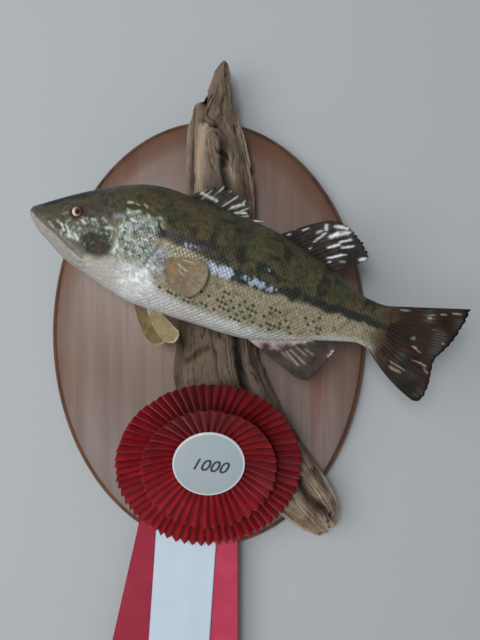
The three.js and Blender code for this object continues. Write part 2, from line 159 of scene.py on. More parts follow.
def makeMesh(name, points, faces, material, uv=None, fields=None):
    # points in metres; uv and fields hold one value for each point
    mesh = bpy.data.meshes.new(name)
    mesh.from_pydata(np.asarray(points).tolist(), [], [list(f) for f in faces])
    mesh.validate()
    mesh.polygons.foreach_set("use_smooth", np.ones(len(mesh.polygons), bool))
    if uv is not None:
        corner = np.empty(len(mesh.loops), int)
        mesh.loops.foreach_get("vertex_index", corner)
        mesh.uv_layers.new(name="OFBake").data.foreach_set("uv", np.asarray(uv)[corner].ravel())
    for key, values in (fields or {}).items():
        values = np.asarray(values, float)
        if values.ndim == 1:
            mesh.attributes.new(key, "FLOAT", "POINT").data.foreach_set("value", values)
        else:
            mesh.attributes.new(key, "FLOAT_VECTOR", "POINT").data.foreach_set("vector", values.ravel())
    mesh.materials.append(material)
    piece = bpy.data.objects.new(name, mesh)
    bpy.context.scene.collection.objects.link(piece)
    return piece


def fixNormals(piece):
    # turn a closed mesh so that its faces look outward
    mesh = piece.data
    mesh.calc_loop_triangles()
    verts = np.empty(len(mesh.vertices) * 3)
    mesh.vertices.foreach_get("co", verts)
    verts = verts.reshape(-1, 3)
    tris = np.empty(len(mesh.loop_triangles) * 3, int)
    mesh.loop_triangles.foreach_get("vertices", tris)
    a, b, c = verts[tris.reshape(-1, 3)].transpose(1, 0, 2)
    if np.einsum("ij,ij->i", a, np.cross(b, c)).sum() < 0:
        mesh.flip_normals()


def place(piece, slotName, *nodes):
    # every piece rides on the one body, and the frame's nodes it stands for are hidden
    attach(piece, rootBody)
    if nodes:
        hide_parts(*nodes)


# small helpers for shader nodes

def paint(red, green, blue):
    # a screen colour, 0 to 255, as the linear colour a shader takes
    linear = [c / 255 / 12.92 if c <= 10 else ((c / 255 + 0.055) / 1.055) ** 2.4 for c in (red, green, blue)]
    return (*linear, 1)


def tint(red, green, blue):
    # the same as three numbers in an array, for mixing
    return np.array(paint(red, green, blue)[:3])


class Shader:
    # a material with short calls for the nodes it is made from
    def __init__(self, name, **values):
        self.material = bpy.data.materials.new(name)
        self.material.use_nodes = True
        self.tree = self.material.node_tree
        self.surface = self.tree.nodes["Principled BSDF"]
        self.set(**values)

    def set(self, **values):
        for key, value in values.items():
            self.put(self.surface.inputs[key.replace("_", " ")], value)

    def put(self, socket, value):
        if isinstance(value, bpy.types.NodeSocket):
            self.tree.links.new(value, socket)
        else:
            socket.default_value = value

    def node(self, kind, **settings):
        made = self.tree.nodes.new(kind)
        for key, value in settings.items():
            setattr(made, key, value)
        return made

    def field(self, name):
        return self.node("ShaderNodeAttribute", attribute_name=name).outputs["Fac"]

    def fieldVector(self, name):
        return self.node("ShaderNodeAttribute", attribute_name=name).outputs["Vector"]

    def place(self, scale=(1, 1, 1), source=None):
        # object coordinates, stretched by scale
        made = self.node("ShaderNodeMapping")
        if source is None:
            source = self.node("ShaderNodeTexCoord").outputs["Object"]
        self.put(made.inputs["Vector"], source)
        made.inputs["Scale"].default_value = scale
        return made.outputs["Vector"]

    def noise(self, vector, scale, detail=3, rough=0.5, warp=0):
        made = self.node("ShaderNodeTexNoise")
        self.put(made.inputs["Vector"], vector)
        for key, value in (("Scale", scale), ("Detail", detail), ("Roughness", rough), ("Distortion", warp)):
            made.inputs[key].default_value = value
        return made.outputs["Fac"]

    def cells(self, vector, scale):
        made = self.node("ShaderNodeTexVoronoi")
        self.put(made.inputs["Vector"], vector)
        made.inputs["Scale"].default_value = scale
        return made.outputs["Distance"]

    def math(self, operation, a, b=0.0):
        made = self.node("ShaderNodeMath", operation=operation)
        self.put(made.inputs[0], a)
        self.put(made.inputs[1], b)
        return made.outputs[0]

    def between(self, value, low, high, outLow=0.0, outHigh=1.0):
        made = self.node("ShaderNodeMapRange", interpolation_type="SMOOTHSTEP")
        self.put(made.inputs["Value"], value)
        for key, number in (("From Min", low), ("From Max", high), ("To Min", outLow), ("To Max", outHigh)):
            made.inputs[key].default_value = number
        return made.outputs["Result"]

    def blend(self, factor, a, b, mode="MIX"):
        made = self.node("ShaderNodeMix", data_type="RGBA", blend_type=mode)
        self.put(made.inputs["Factor"], factor)
        self.put(made.inputs[6], a)
        self.put(made.inputs[7], b)
        return made.outputs[2]

    def bump(self, height, strength, distance):
        made = self.node("ShaderNodeBump")
        self.put(made.inputs["Height"], height)
        made.inputs["Strength"].default_value = strength
        made.inputs["Distance"].default_value = distance
        self.tree.links.new(made.outputs["Normal"], self.surface.inputs["Normal"])


# camera, light and surroundings

stageSettings = {
    "cameraPlace": (0.0292, -0.680, 0.0132), "lens": 39.375, "sensor": 36,
    # place, size, power and colour of each lamp
    "windowLight": ((-0.30, -1.95, 0.28), 0.5, 10.5, (0.97, 0.99, 1)),
    "softLight": ((-0.95, -1.55, 0.05), 1.7, 15.5, (1, 0.985, 0.96)),
    "lampsAimAt": (0, -0.05, 0.02),
    "skyColour": (0.9, 0.94, 1, 1), "skyStrength": 0.22,
    "wallColour": paint(188, 193, 197), "floorColour": paint(206, 204, 198),
    "wallBehind": 0.0008, "wallTop": 1.8, "halfWidth": 2.2, "floorLevel": -1.1, "floorFront": -2.6,
}


def aimedAt(thing, target):
    away = np.array(thing.location) - np.array(target)
    thing.rotation_euler = (
        math.atan2(math.hypot(away[0], away[1]), away[2]), 0, math.atan2(away[0], -away[1]))


def addLight(settings, name):
    location, size, power, colour = settings[name]
    data = bpy.data.lights.new(name, "AREA")
    data.shape = "DISK"
    data.size = size
    data.energy = power
    data.color = colour
    light = bpy.data.objects.new(name, data)
    light.location = location
    aimedAt(light, settings["lampsAimAt"])
    bpy.context.scene.collection.objects.link(light)
    return light


def addSurroundings(settings):
    scene = bpy.context.scene
    camera = bpy.data.objects.new("camera", bpy.data.cameras.new("camera"))
    camera.data.lens = settings["lens"]
    camera.data.sensor_width = settings["sensor"]
    camera.location = settings["cameraPlace"]
    camera.rotation_euler = (math.pi / 2, 0, 0)
    scene.collection.objects.link(camera)
    scene.camera = camera
    scene.view_settings.view_transform = "Standard"

    addLight(settings, "windowLight")
    addLight(settings, "softLight").visible_glossy = False
    world = bpy.data.worlds.new("room")
    world.use_nodes = True
    sky = world.node_tree.nodes["Background"]
    sky.inputs["Color"].default_value = settings["skyColour"]
    sky.inputs["Strength"].default_value = settings["skyStrength"]
    scene.world = world

    wall = Shader("wallPaint", Base_Color=settings["wallColour"], Roughness=0.85)
    grain = wall.noise(wall.place(), 420, 4, 0.6)
    wall.bump(grain, 0.12, 0.0008)
    # seen from its front only, so the back of the object can be looked at
    mixed = wall.node("ShaderNodeMixShader")
    wall.put(mixed.inputs[0], wall.node("ShaderNodeNewGeometry").outputs["Backfacing"])
    wall.put(mixed.inputs[1], wall.surface.outputs[0])
    wall.put(mixed.inputs[2], wall.node("ShaderNodeBsdfTransparent").outputs[0])
    wall.put(wall.tree.nodes["Material Output"].inputs["Surface"], mixed.outputs[0])
    right, back, top = settings["halfWidth"], settings["wallBehind"], settings["wallTop"]
    level, near = settings["floorLevel"], settings["floorFront"]
    wallPoints = [(-right, back, level), (right, back, level), (right, back, top), (-right, back, top)]
    backdrop = makeMesh("wall", wallPoints, [(0, 1, 2, 3)], wall.material)
    floorPoints = [(-right, near, level), (right, near, level), (right, back, level), (-right, back, level)]
    paleFloor = Shader("paleFloor", Base_Color=settings["floorColour"], Roughness=0.7)
    paleFloor.bump(paleFloor.noise(paleFloor.place((1, 6, 1)), 30, 3), 0.1, 0.001)
    floor = makeMesh("floor", floorPoints, [(0, 1, 2, 3)], paleFloor.material)
    print("camera, lights, wall and floor placed")


addSurroundings(stageSettings)


# the fish's own shape, in millimetres along its axis

fishPlace = {
    "snout": (-0.1464, -0.080, 0.1056),
    "noseUp": math.radians(19.25),
    "fleshLength": 317,
    "noseRound": 1.6, "tailRound": 5,  # how much of each end is rounded off
    "coatDepth": 0.55,
}
tailRoundFrom = fishPlace["fleshLength"] - fishPlace["tailRound"]

backLine = curveThrough([
    (0, 1.2), (2.5, 4.9), (8, 9), (18.5, 16.9), (30, 25.3), (44, 34.4), (56, 41.3), (66, 46.9),
    (86, 54.4), (108, 57.3), (167, 55.2), (204, 52.2), (243, 42.3), (277, 28), (287, 25),
    (296, 23.6), (306, 23), (317, 24.5)])
bellyLine = curveThrough([
    (0, -1.2), (2, -5), (6, -9.6), (12, -14.8), (18.6, -18.9), (28, -24.4), (40, -30.5), (50, -33.8),
    (60, -36.5), (70, -39.4), (82, -43.2), (92, -45.3), (107, -46.9), (130, -47.3), (166, -45.8),
    (186, -45.4), (210, -42.9), (222, -38.9), (243, -32.5), (260, -26), (284, -18.4), (292, -16.1),
    (299, -15.6), (306, -17.4), (317, -22.6)])
sideLine = curveThrough([
    (0, 3.5), (3, 8), (10, 12), (20, 14.8), (35, 18.5), (60, 24), (85, 28.5), (110, 30.5),
    (140, 31), (175, 29), (210, 24), (243, 17.5), (277, 10.5), (296, 7), (317, 3.2)])
widestLine = curveThrough([(0, 0), (20, -2), (60, 0), (110, 5), (170, 7), (243, 4), (317, 0.5)])
backFullness = curveThrough([(0, 2.4), (60, 2.3), (120, 2.05), (220, 1.9), (317, 2.2)])
bellyFullness = curveThrough([(0, 2.2), (60, 2.1), (120, 2.3), (220, 2.1), (317, 2.2)])
lateralLine = curveThrough([
    (40, 26), (95, 23), (130, 17), (170, 11), (210, 6.5), (250, 3), (290, 2), (317, 1.5)])

mouthLine = smoothLine([
    (-1, 0.8), (5.6, -0.8), (9.8, -3.6), (17.8, -7.2), (27.8, -11.8), (41, -18.4),
    (53, -23.9), (57.5, -25.6)], 40)
jawPlate = smoothLine([
    (15, -4.6), (26, -5.6), (37, -7.4), (49.5, -10.2), (56.5, -13.5), (58.5, -19),
    (54.5, -24), (46, -20.2), (34, -14.6), (22, -9)], 40, closed=True)
gillCover = smoothLine([
    (74, 22), (84, 30), (98, 29.5), (108, 24.5), (115, 17), (114, 6), (110, -6),
    (104.5, -17), (91.5, -28.5), (74, -34), (66, -28), (74.5, -13), (77, 5)], 60, closed=True)
cheekEdge = smoothLine([
    (70, 26), (73.5, 19), (76.4, 9), (77.2, 0), (75.8, -10), (71, -19), (63, -25.5), (54, -29)], 30)
lipFold = smoothLine([(0, 3.2), (6, 2.6), (11, 0.6), (17, -2.8), (25, -4.4)], 16)
browLine = smoothLine([(27, 13.8), (32, 17.6), (38.5, 19), (46, 17.8), (53, 15)], 16)
throatFolds = [
    smoothLine([(30, -25), (46, -31), (64, -33.5), (84, -36.5), (97, -36)], 20),
    smoothLine([(26, -24.6), (44, -32.6), (62, -36), (84, -39), (100, -40)], 20),
]
eyeAt = {"x": 40.3, "z": 10.7, "radius": 6.0, "skull": 18.2, "standsOut": 1.7}


def bow(x):
    return np.where(x < 150, 12 * ((x - 150) / 150) ** 2, 10 * ((x - 150) / 160) ** 2)


def skinPoint(x, turn, inset):
    # turn 0 is the back, a quarter turn the left side
    up, side = np.cos(turn), np.sin(turn)
    widest = widestLine(x)
    power = 2 / np.where(up > 0, backFullness(x), bellyFullness(x))
    reach = np.where(up > 0, backLine(x) - inset - widest, widest - bellyLine(x) - inset)
    nose, tail = fishPlace["noseRound"], fishPlace["tailRound"]
    close = np.sqrt(np.clip(1 - np.clip((nose - x) / nose, 0, 1) ** 2, 0, 1))
    close = close * np.sqrt(np.clip(1 - np.clip((x - tailRoundFrom) / tail, 0, 1) ** 2, 0, 1))
    height = widest + close * np.sign(up) * np.maximum(reach, 0.4) * np.abs(up) ** power
    thin = 1 - 0.3 * ease(300, 317, x)
    out = close * thin * np.sign(side) * np.maximum(sideLine(x) - inset, 0.4) * np.abs(side) ** power
    return np.stack([x, -bow(x) - out, height], -1)


def sideReach(x, z):
    # half width of the body at a height
    widest = widestLine(x)
    above = z > widest
    reach = np.where(above, backLine(x) - widest, widest - bellyLine(x))
    full = np.where(above, backFullness(x), bellyFullness(x))
    share = np.clip(np.abs(z - widest) / np.maximum(reach, 0.1), 0, 1)
    return sideLine(x) * (1 - share ** full) ** (1 / full)


def toRoom(points):
    # fish axes in millimetres to the shared frame in metres
    c, s = math.cos(fishPlace["noseUp"]), math.sin(fishPlace["noseUp"])
    x, y, z = points[..., 0], points[..., 1], points[..., 2]
    return np.stack([x * c + z * s, y, -x * s + z * c], -1) * 0.001 + np.array(fishPlace["snout"])


def relief(x, z, turn):
    # how far the modelled skin stands out from the plain body, in millimetres
    flank = ease(0.18, 0.45, np.abs(np.sin(turn)))
    gill = insideOf(gillCover, x, z)
    rear = ease(80, 96, x) * 0.8 + 0.2
    height = 0.8 * ease(-0.8, 2.2, gill) * rear
    height -= 0.45 * mound(gill + 1.6, 1.2) * rear
    height -= 0.2 * mound(gill - 4.6, 1.2) * rear
    cheek = awayFrom(cheekEdge, x, z)
    height -= 0.5 * mound(cheek, 1.0)
    height += 0.35 * mound(cheek - 2.6, 1.4) * (x < 78)
    mouth = awayFrom(mouthLine, x, z)
    height -= 0.85 * mound(mouth, 0.75)
    height += 0.5 * mound(mouth - 2.4, 1.4) * (x < 56)
    plate = insideOf(jawPlate, x, z)
    height += 0.5 * ease(-0.6, 1.4, plate) - 0.25 * mound(plate + 1, 0.8)
    height -= 0.35 * mound(awayFrom(lipFold, x, z), 0.8)
    height += 0.5 * mound(awayFrom(browLine, x, z), 1.6)
    for px, pz in ((24.6, 12.2), (28.8, 13.6)):
        away = np.hypot(x - px, z - pz)
        height += 0.3 * mound(away - 1.3, 0.5) - 0.9 * mound(away, 0.65)
    eye = np.hypot(x - eyeAt["x"], z - eyeAt["z"])
    height += 0.5 * mound(eye - 5.8, 1.2) - 0.35 * mound(eye - 8.6, 1.4)
    height = np.where(eye < 4.9, np.minimum(height, 0.6), height) - 5.5 * ease(4.75, 4.15, eye)
    # plates, pits and veins over the cheek and gill cover
    fine = np.stack([x, z], -1)
    bony = ease(118, 108, x)
    height += bony * (0.24 * softNoise(fine, 4.5, 3) + 0.18 * softNoise(fine, 2.1, 4) * ease(24, 40, x))
    height += 1.3 * mound(np.hypot((x - 121) / 4.2, (z + 6) / 7.5), 1)
    folds = sum(0.4 * mound(awayFrom(line, x, z), 0.9) for line in throatFolds)
    return height * flank - folds * ease(0.05, 0.2, np.abs(np.sin(turn)))


def withNormals(x, turn, inset):
    # the point, and the way out from the skin there, taken a little in from the rounded ends
    here = skinPoint(x, turn, inset)
    ahead = skinPoint(np.minimum(x + 0.4, 311.5), turn, inset)
    alongBody = ahead - skinPoint(np.clip(x - 0.4, 1.7, 311), turn, inset)
    steady = np.clip(x, 1.7, 311)
    roundBody = skinPoint(steady, turn + 0.01, inset) - skinPoint(steady, turn - 0.01, inset)
    normal = np.cross(roundBody, alongBody)
    normal /= np.maximum(np.linalg.norm(normal, axis=-1, keepdims=True), 1e-9)
    outward = np.stack([np.zeros_like(turn), -np.sin(turn), np.cos(turn)], -1)
    normal *= np.sign((normal * outward).sum(-1, keepdims=True))
    return here, normal


def skinSurface(x, turn, lift=0.0):
    # a point on the modelled skin, raised by lift
    here, normal = withNormals(x, turn, fishPlace["coatDepth"])
    raised = relief(here[..., 0], here[..., 2], turn) * ease(0.5, 4, x) + lift
    return here + normal * raised[..., None]


# the paint job: worked out at each point of skin, scales and fin roots alike

fishColours = {
    "olive": (86, 80, 54), "backDark": (44, 43, 31), "green": (56, 70, 42), "brown": (84, 66, 48),
    "bandDark": (32, 37, 33), "bandBlue": (44, 48, 66), "tan": (158, 150, 124),
    "flankGreen": (136, 142, 112), "flankPink": (166, 146, 128), "belly": (204, 207, 206),
    "bellyPink": (210, 194, 188), "headBrown": (76, 70, 54), "headGreen": (62, 70, 50),
    "headDark": (48, 43, 38), "headPink": (94, 81, 69), "navy": (30, 34, 54), "tipBlue": (74, 88, 104),
    "jaw": (164, 159, 154), "jawGreen": (156, 159, 151), "throat": (180, 177, 170), "lip": (120, 110, 98),
    "plate": (132, 122, 108), "cheekGrey": (112, 118, 100), "blotch": (44, 42, 32),
    "blotchRed": (76, 56, 48), "orange": (196, 160, 132), "cover": (138, 150, 130),
    "coverWhite": (196, 194, 204), "coverDark": (58, 70, 54), "shoulder": (150, 156, 164),
    "glint": (204, 220, 206), "white": (250, 251, 253), "black": (14, 17, 20), "cream": (214, 204, 180),
    "tailBrown": (72, 52, 36), "socket": (62, 36, 34), "silver": (196, 210, 230),
}
fishColours = {name: tint(*screen) for name, screen in fishColours.items()}

bandCentre = curveThrough([
    (104, 19), (135, 16), (165, 15), (190, 14), (215, 9), (235, 5), (260, 5.3), (300, 5.6), (335, 3.6)])
bandHalf = curveThrough([
    (104, 3), (165, 6), (190, 7.5), (215, 7.5), (235, 6), (260, 4.2), (300, 3.3), (335, 2.4)])
flankTop = curveThrough([
    (100, 15), (125, 12), (150, 8), (170, 1.5), (190, -2), (215, 0), (240, 2), (280, 2.4), (335, 0)])
paleTop = curveThrough([
    (46, -20), (56, -21), (66, -21), (80, -17), (92, -14), (104, -14), (114, -18), (124, -27), (135, -31.5),
    (170, -33), (215, -31), (240, -28), (260, -21.5), (280, -15.5), (300, -12.5), (335, -14)])
silverLine = curveThrough([(150, 4.2), (165, 3.2), (188, 3.8), (215, 2.5)])

# small marks on the head and breast: from x, z to x, z, width, colour and strength; the white and glint marks
# are painted highlights
headMarks = [
    (3, 3, 8, 5.2, 2.6, "tipBlue", 0.8), (6, 6, 12, 9.5, 1.2, "black", 0.7),
    (32, -3.4, 35.6, -7.6, 0.8, "white", 0.7), (35.6, -3, 41.8, -9.8, 1.1, "white", 0.6),
    (34.4, -3.4, 38.6, -9.4, 0.6, "blotchRed", 0.8), (40, -10.6, 48.5, -9.8, 1.4, "glint", 0.75),
    (45, -7.6, 49, -11, 0.9, "white", 0.6), (21, -4.6, 26, -7.4, 0.9, "glint", 0.5),
    (27, -1.4, 31, -3, 0.9, "glint", 0.55), (50, 1.6, 53, 2.2, 1.4, "navy", 0.85),
    (47.6, 4.6, 50, 3.6, 1.1, "white", 0.6), (54.6, 8.8, 57.6, 9, 1.1, "glint", 0.6),
    (63, 12.4, 67, 10.8, 1.2, "cream", 0.45), (72, 17.2, 77, 18.4, 2.2, "shoulder", 0.8),
    (68.4, 5.4, 72, 7, 1.3, "glint", 0.85), (66, 3, 71.4, 3.4, 1.3, "navy", 0.85),
    (69, -0.6, 73.4, 0.4, 1.4, "black", 0.6), (56, 15, 58, 20, 1.6, "navy", 0.5),
    (78, 31.8, 81.6, 32.8, 0.9, "cream", 0.85), (84.6, 32.6, 88, 32.2, 0.6, "cream", 0.5),
    (91, 34.6, 94, 33, 0.6, "cream", 0.55), (86, 31.4, 89, 30.4, 0.7, "black", 0.6),
    (83, 24.4, 90, 27.4, 1.2, "glint", 0.75), (97, 27, 99, 25.6, 0.8, "cream", 0.6),
    (109, 23.4, 113, 20.6, 1.0, "cream", 0.7), (80, 21.6, 81.6, 20.4, 1.4, "black", 0.85),
    (84, 17.6, 92, 16, 1.0, "black", 0.75), (85, 18.8, 90, 18.4, 0.8, "white", 0.7),
    (87.4, 14.4, 88.6, 5, 1.1, "coverWhite", 0.8), (91, 15.2, 96, 15.4, 1.9, "coverWhite", 0.7),
    (95.6, 14.8, 96.6, 14.4, 1.3, "socket", 1.0), (80.4, -9.6, 81.8, -4.4, 1.0, "white", 0.75),
    (79, -11.6, 81.2, -10.4, 1.1, "glint", 0.9), (108, 22.6, 109.6, 20.4, 1.2, "black", 0.95),
    (111.6, 18.6, 112.8, 17, 1.2, "black", 0.9), (106.6, 14.6, 108.4, 14, 1.0, "black", 0.8),
    (111.6, 16, 112.6, 12.4, 1.2, "navy", 0.7), (104, 20.6, 107.6, 14, 1.0, "silver", 0.6),
    (94, -31.2, 96.6, -30.4, 1.3, "white", 0.9), (101.6, -27.4, 107.4, -25.8, 1.4, "white", 0.85),
    (110.4, -12.4, 111.6, -12.2, 0.9, "white", 0.85), (114.8, -12.8, 116.4, -11.8, 0.9, "white", 0.75),
    (110, -8, 113, -9, 0.6, "white", 0.5), (110.6, -16, 111.6, -18.6, 1.2, "white", 0.7),
    (105, -20.8, 109, -21.6, 1.0, "white", 0.8), (109.6, -37.6, 112, -37.8, 1.2, "white", 0.7),
    (98, -29.4, 99.6, -26.6, 0.8, "white", 0.6), (113, -15, 116, -20, 1.4, "shoulder", 0.5),
    (92, -25, 98, -21.5, 0.6, "lip", 0.5), (117, -4.2, 126, -2, 0.7, "navy", 0.6),
    (119, -7, 124, -5.6, 0.7, "navy", 0.5),
]


def mix(base, colour, share):
    return base + (colour - base) * np.asarray(share)[..., None]


def addMarks(tone, x, z, marks, colours, spread):
    # draw each mark on the points that lie near it, its edge made uneven by spread
    for startX, startZ, endX, endZ, width, name, strength in marks:
        reach = 2.6 * width + 1
        near = (x > min(startX, endX) - reach) & (x < max(startX, endX) + reach)
        near &= (z > min(startZ, endZ) - reach) & (z < max(startZ, endZ) + reach)
        if near.any():
            away = awayFrom(np.array([(startX, startZ), (endX, endZ)]), x[near], z[near])
            share = strength * mound(np.maximum(away + 0.5 * width * spread[near], 0), width)
            tone[near] = mix(tone[near], colours[name], share)
    return tone


def silverAndGlintsAt(points):
    # silver paint and painted reflections on the flank: a solid start, then broken bright streaks, with dark
    # reflection painted between them
    x, z = points[..., 0], points[..., 2]
    lean = np.stack([(x + 0.3 * z) / 1.7, points[..., 1] / 12, z / 5], -1)
    streaks = softNoise(lean, 1, 71) + 0.5 * softNoise(points, 1.9, 72)
    solid = ease(184, 174, x)
    place = mound((z - silverLine(x)) / 4.6, 1) * ease(150, 158, x) * ease(222, 208, x)
    place = np.maximum(place, 0.75 * mound(np.hypot((x - 139) / 6, (z - 14) / 3), 1))
    place = np.maximum(place, 0.55 * mound(np.hypot((x - 206) / 6, (z - 16) / 4), 1))
    level = 1.5 * streaks + 1.1 * solid + 1.9 * (place - 0.93)
    return ease(0.0, 0.35, level) * ease(0.15, 0.4, place), ease(0.0, -0.4, level) * ease(0.25, 0.5, place)


def fishTone(points):
    # the paint at points in the fish's axes
    x, z = points[..., 0], points[..., 2]
    colours = fishColours
    high = (z - bellyLine(x)) / (backLine(x) - bellyLine(x))

    def patches(size, seed, low=0.0, top=0.45):
        coarse = softNoise(points, size, seed) + 0.5 * softNoise(points, size * 0.45, seed + 90)
        return ease(low, top, coarse)

    shake = 2.6 * softNoise(points, 8, 11) + 1.6 * softNoise(points, 3.1, 12)
    tone = mix(colours["olive"], colours["backDark"], patches(9, 1, -0.1, 0.6))
    tone = mix(tone, colours["green"], 0.8 * patches(6.5, 2))
    tone = mix(tone, colours["brown"], 0.65 * patches(5.2, 3))
    tone = mix(tone, colours["backDark"], 0.5 * patches(2.6, 4, 0.1, 0.6) + 0.3 * ease(0.88, 1.0, high))

    flank = mix(colours["tan"], colours["flankGreen"], 0.8 * patches(6, 5))
    flank = mix(flank, colours["flankPink"], 0.75 * patches(7, 6))
    flank = mix(flank, colours["olive"], 0.5 * patches(2.6, 7, 0.1, 0.6))
    flank = mix(flank, colours["tailBrown"], 0.85 * ease(288, 316, x + shake))
    tone = mix(tone, flank, ease(3, -3, z - flankTop(x) + shake))
    solid = ease(222, 262, x)
    edge = np.abs(z - bandCentre(x) + 0.6 * shake) / bandHalf(x)
    band = ease(1.25, 0.65, edge) * (solid + (1 - solid) * patches(5.5, 8, -0.35, 0.25)) * ease(106, 120, x)
    tone = mix(tone, mix(colours["bandBlue"], colours["bandDark"], ease(140, 165, x)), 0.9 * band)
    tone = mix(tone, colours["tailBrown"], 0.5 * ease(300, 318, x))

    # head: brown and green above, a dark cheek, the mottled gill cover and the pale jaw
    skull = mix(colours["headBrown"], colours["headGreen"], patches(4.6, 21))
    skull = mix(skull, colours["headDark"], 0.6 * patches(3.4, 22))
    skull = mix(skull, colours["headPink"], 0.5 * patches(3.0, 23, 0.1, 0.5))
    skull = mix(skull, colours["olive"], 0.35 * ease(30, 12, x))
    tone = mix(tone, skull, ease(88, 62, x))
    mouthHeight = np.interp(x, mouthLine[:, 0], mouthLine[:, 1])
    above = z - mouthHeight
    greyer = ease(30, 44, x) * ease(80, 74, x) * ease(10, 3, z + shake * 0.5)
    tone = mix(tone, colours["cheekGrey"], 0.6 * greyer)
    plate = ease(6.5, 3.0, above + 0.5 * shake) * ease(6, 16, x) * ease(58, 50, x)
    tone = mix(tone, mix(colours["lip"], colours["plate"], ease(16, 38, x)), 0.7 * plate)
    blotch = ease(1.2, 0.72, np.hypot((x - 64) / 14.5, (z + 9.5) / 9.5) + 0.05 * shake)
    dark = mix(colours["blotch"], colours["blotchRed"], patches(4, 24) * ease(-4, -14, z))
    tone = mix(tone, mix(dark, colours["green"], 0.4 * patches(2.6, 25, 0.2, 0.5)), 0.9 * blotch)

    cover = ease(76, 81, x) * ease(114, 105, x + 0.5 * shake)
    cover = cover * ease(29, 24, z + shake) * ease(-20, -8, z + shake)
    mottled = mix(colours["cover"], colours["coverWhite"], 0.7 * patches(3.0, 26, 0.0, 0.4))
    mottled = mix(mottled, colours["plate"], 0.6 * patches(3.6, 27, 0.05, 0.4))
    mottled = mix(mottled, colours["coverDark"], 0.7 * patches(2.4, 28, 0.15, 0.45) * ease(-12, 8, z))
    tone = mix(tone, mottled, 0.95 * cover)
    behind = ease(103, 110, x) * ease(130, 120, x + shake) * ease(-22, -14, z) * ease(9, 1, z + shake)
    tone = mix(tone, mix(colours["shoulder"], colours["plate"], 0.5 * patches(3, 29)), 0.85 * behind)

    pale = mix(colours["belly"], colours["bellyPink"], 0.7 * patches(9, 30) * ease(100, 135, x))
    pale = mix(pale, colours["throat"], ease(98, 84, x + shake))
    tone = mix(tone, pale, ease(4, -4, z - paleTop(x) + 0.7 * shake) * ease(48, 60, x) * ease(314, 298, x))
    jaw = mix(colours["jaw"], colours["jawGreen"], patches(5, 31))
    tone = mix(tone, jaw, ease(0.8, -2.6, above + 0.25 * shake) * ease(64, 54, x))
    jawCorner = mound(np.hypot((x - 60) / 6, (z + 23) / 3.4), 1)
    tone = mix(tone, colours["orange"], 0.5 * jawCorner * patches(3, 32, -0.3, 0.2))
    tone = mix(tone, colours["lip"], 0.2 * mound(awayFrom(mouthLine, x, z), 1.0) * ease(58, 50, x))

    # painted glints: fine pale flecks of light over cheek, gill cover and shoulder, with dark flecks of the
    # paint among them
    flecked = ease(26, 36, x) * ease(82, 78, x) * ease(12, 6, z) * ease(-15, -9, z) * (1 - 0.85 * blotch)
    flecked = np.maximum(np.maximum(0.45 * flecked, 0.85 * cover), 0.6 * behind)
    tone = mix(tone, colours["glint"], 0.95 * flecked * patches(1.7, 33, 0.3, 0.5))
    tone = mix(tone, colours["coverDark"], 0.9 * flecked * patches(1.8, 34, 0.3, 0.5))
    # painted highlights: pale sparkle on the breast
    breast = mound(np.hypot((x - 104) / 15, (z + 25) / 9), 1)
    tone = mix(tone, colours["white"], 0.9 * breast * patches(1.9, 35, 0.2, 0.42))
    rim = ease(8.4, 5, backLine(x) - z + 0.5 * shake) * ease(8, 14, x) * ease(58, 46, x)
    tone = mix(tone, mix(colours["navy"], colours["black"], 0.6), 0.9 * rim)
    eye = np.hypot(x - eyeAt["x"], z - eyeAt["z"])
    heavy = 0.7 + 0.3 * np.clip((x - eyeAt["x"] - z + eyeAt["z"]) / 6, -1, 1)
    tone = mix(tone, colours["socket"], mound(eye - 5.2, 2.2) * heavy)
    # silver paint with painted bright and dark reflections in streaks along the flank
    silver, gap = silverAndGlintsAt(points)
    tone = mix(tone, colours["navy"], 0.75 * gap)
    tone = mix(tone, colours["silver"], silver * (0.75 + 0.25 * patches(2.2, 36)))
    return addMarks(tone, x, z, headMarks, colours, softNoise(points, 1.3, 37))


def paintedMaterial(name, kind="skin", **surface):
    shader = Shader(name, **surface)
    fine = shader.noise(shader.place(), 420, 3, 0.6)
    grain = shader.between(fine, 0.3, 0.7, 0.84, 1.14)
    whole = shader.blend(1.0, shader.fieldVector("tone"), grain, "MULTIPLY")
    if kind == "scale":
        # each scale a little lighter or darker, with painted shade at its root, painted light on its rim and
        # maybe a dark tick
        along, across = shader.field("scaleAlong"), shader.field("scaleAcross")
        lightness = shader.between(shader.field("scaleSeed"), 0, 1, 0.93, 1.07)
        whole = shader.blend(1.0, whole, lightness, "MULTIPLY")
        whole = shader.blend(1.0, whole, shader.between(along, 0.82, 1.0, 0.99, 1.14), "MULTIPLY")
        spot = shader.math("POWER", shader.math("MULTIPLY", across, 1.15), 2)
        lengthwise = shader.math("MULTIPLY", shader.math("SUBTRACT", along, 0.68), 2.9)
        spot = shader.math("ADD", spot, shader.math("POWER", lengthwise, 2))
        spot = shader.math("MULTIPLY", shader.between(spot, 0.62, 0.3), shader.field("tick"))
        whole = shader.blend(shader.math("MULTIPLY", spot, 0.9), whole, paint(56, 42, 30))
        rings = shader.math("SINE", shader.math("MULTIPLY", along, 46))
        height = shader.math("ADD", shader.math("MULTIPLY", rings, 0.1), fine)
    elif kind == "fin":
        joints = shader.math("SINE", shader.math("MULTIPLY", shader.field("finOut"), 150))
        joints = shader.math("MULTIPLY", joints, shader.field("ray"))
        height = shader.math("ADD", shader.math("MULTIPLY", joints, 0.25), fine)
    else:
        height = shader.math("ADD", fine, shader.math("MULTIPLY", shader.cells(shader.place(), 900), 0.5))
    shader.set(Base_Color=whole)
    if kind == "scale":
        shader.set(Metallic=shader.field("metal"))
    shader.bump(height, 0.25, 0.0004)
    return shader.material


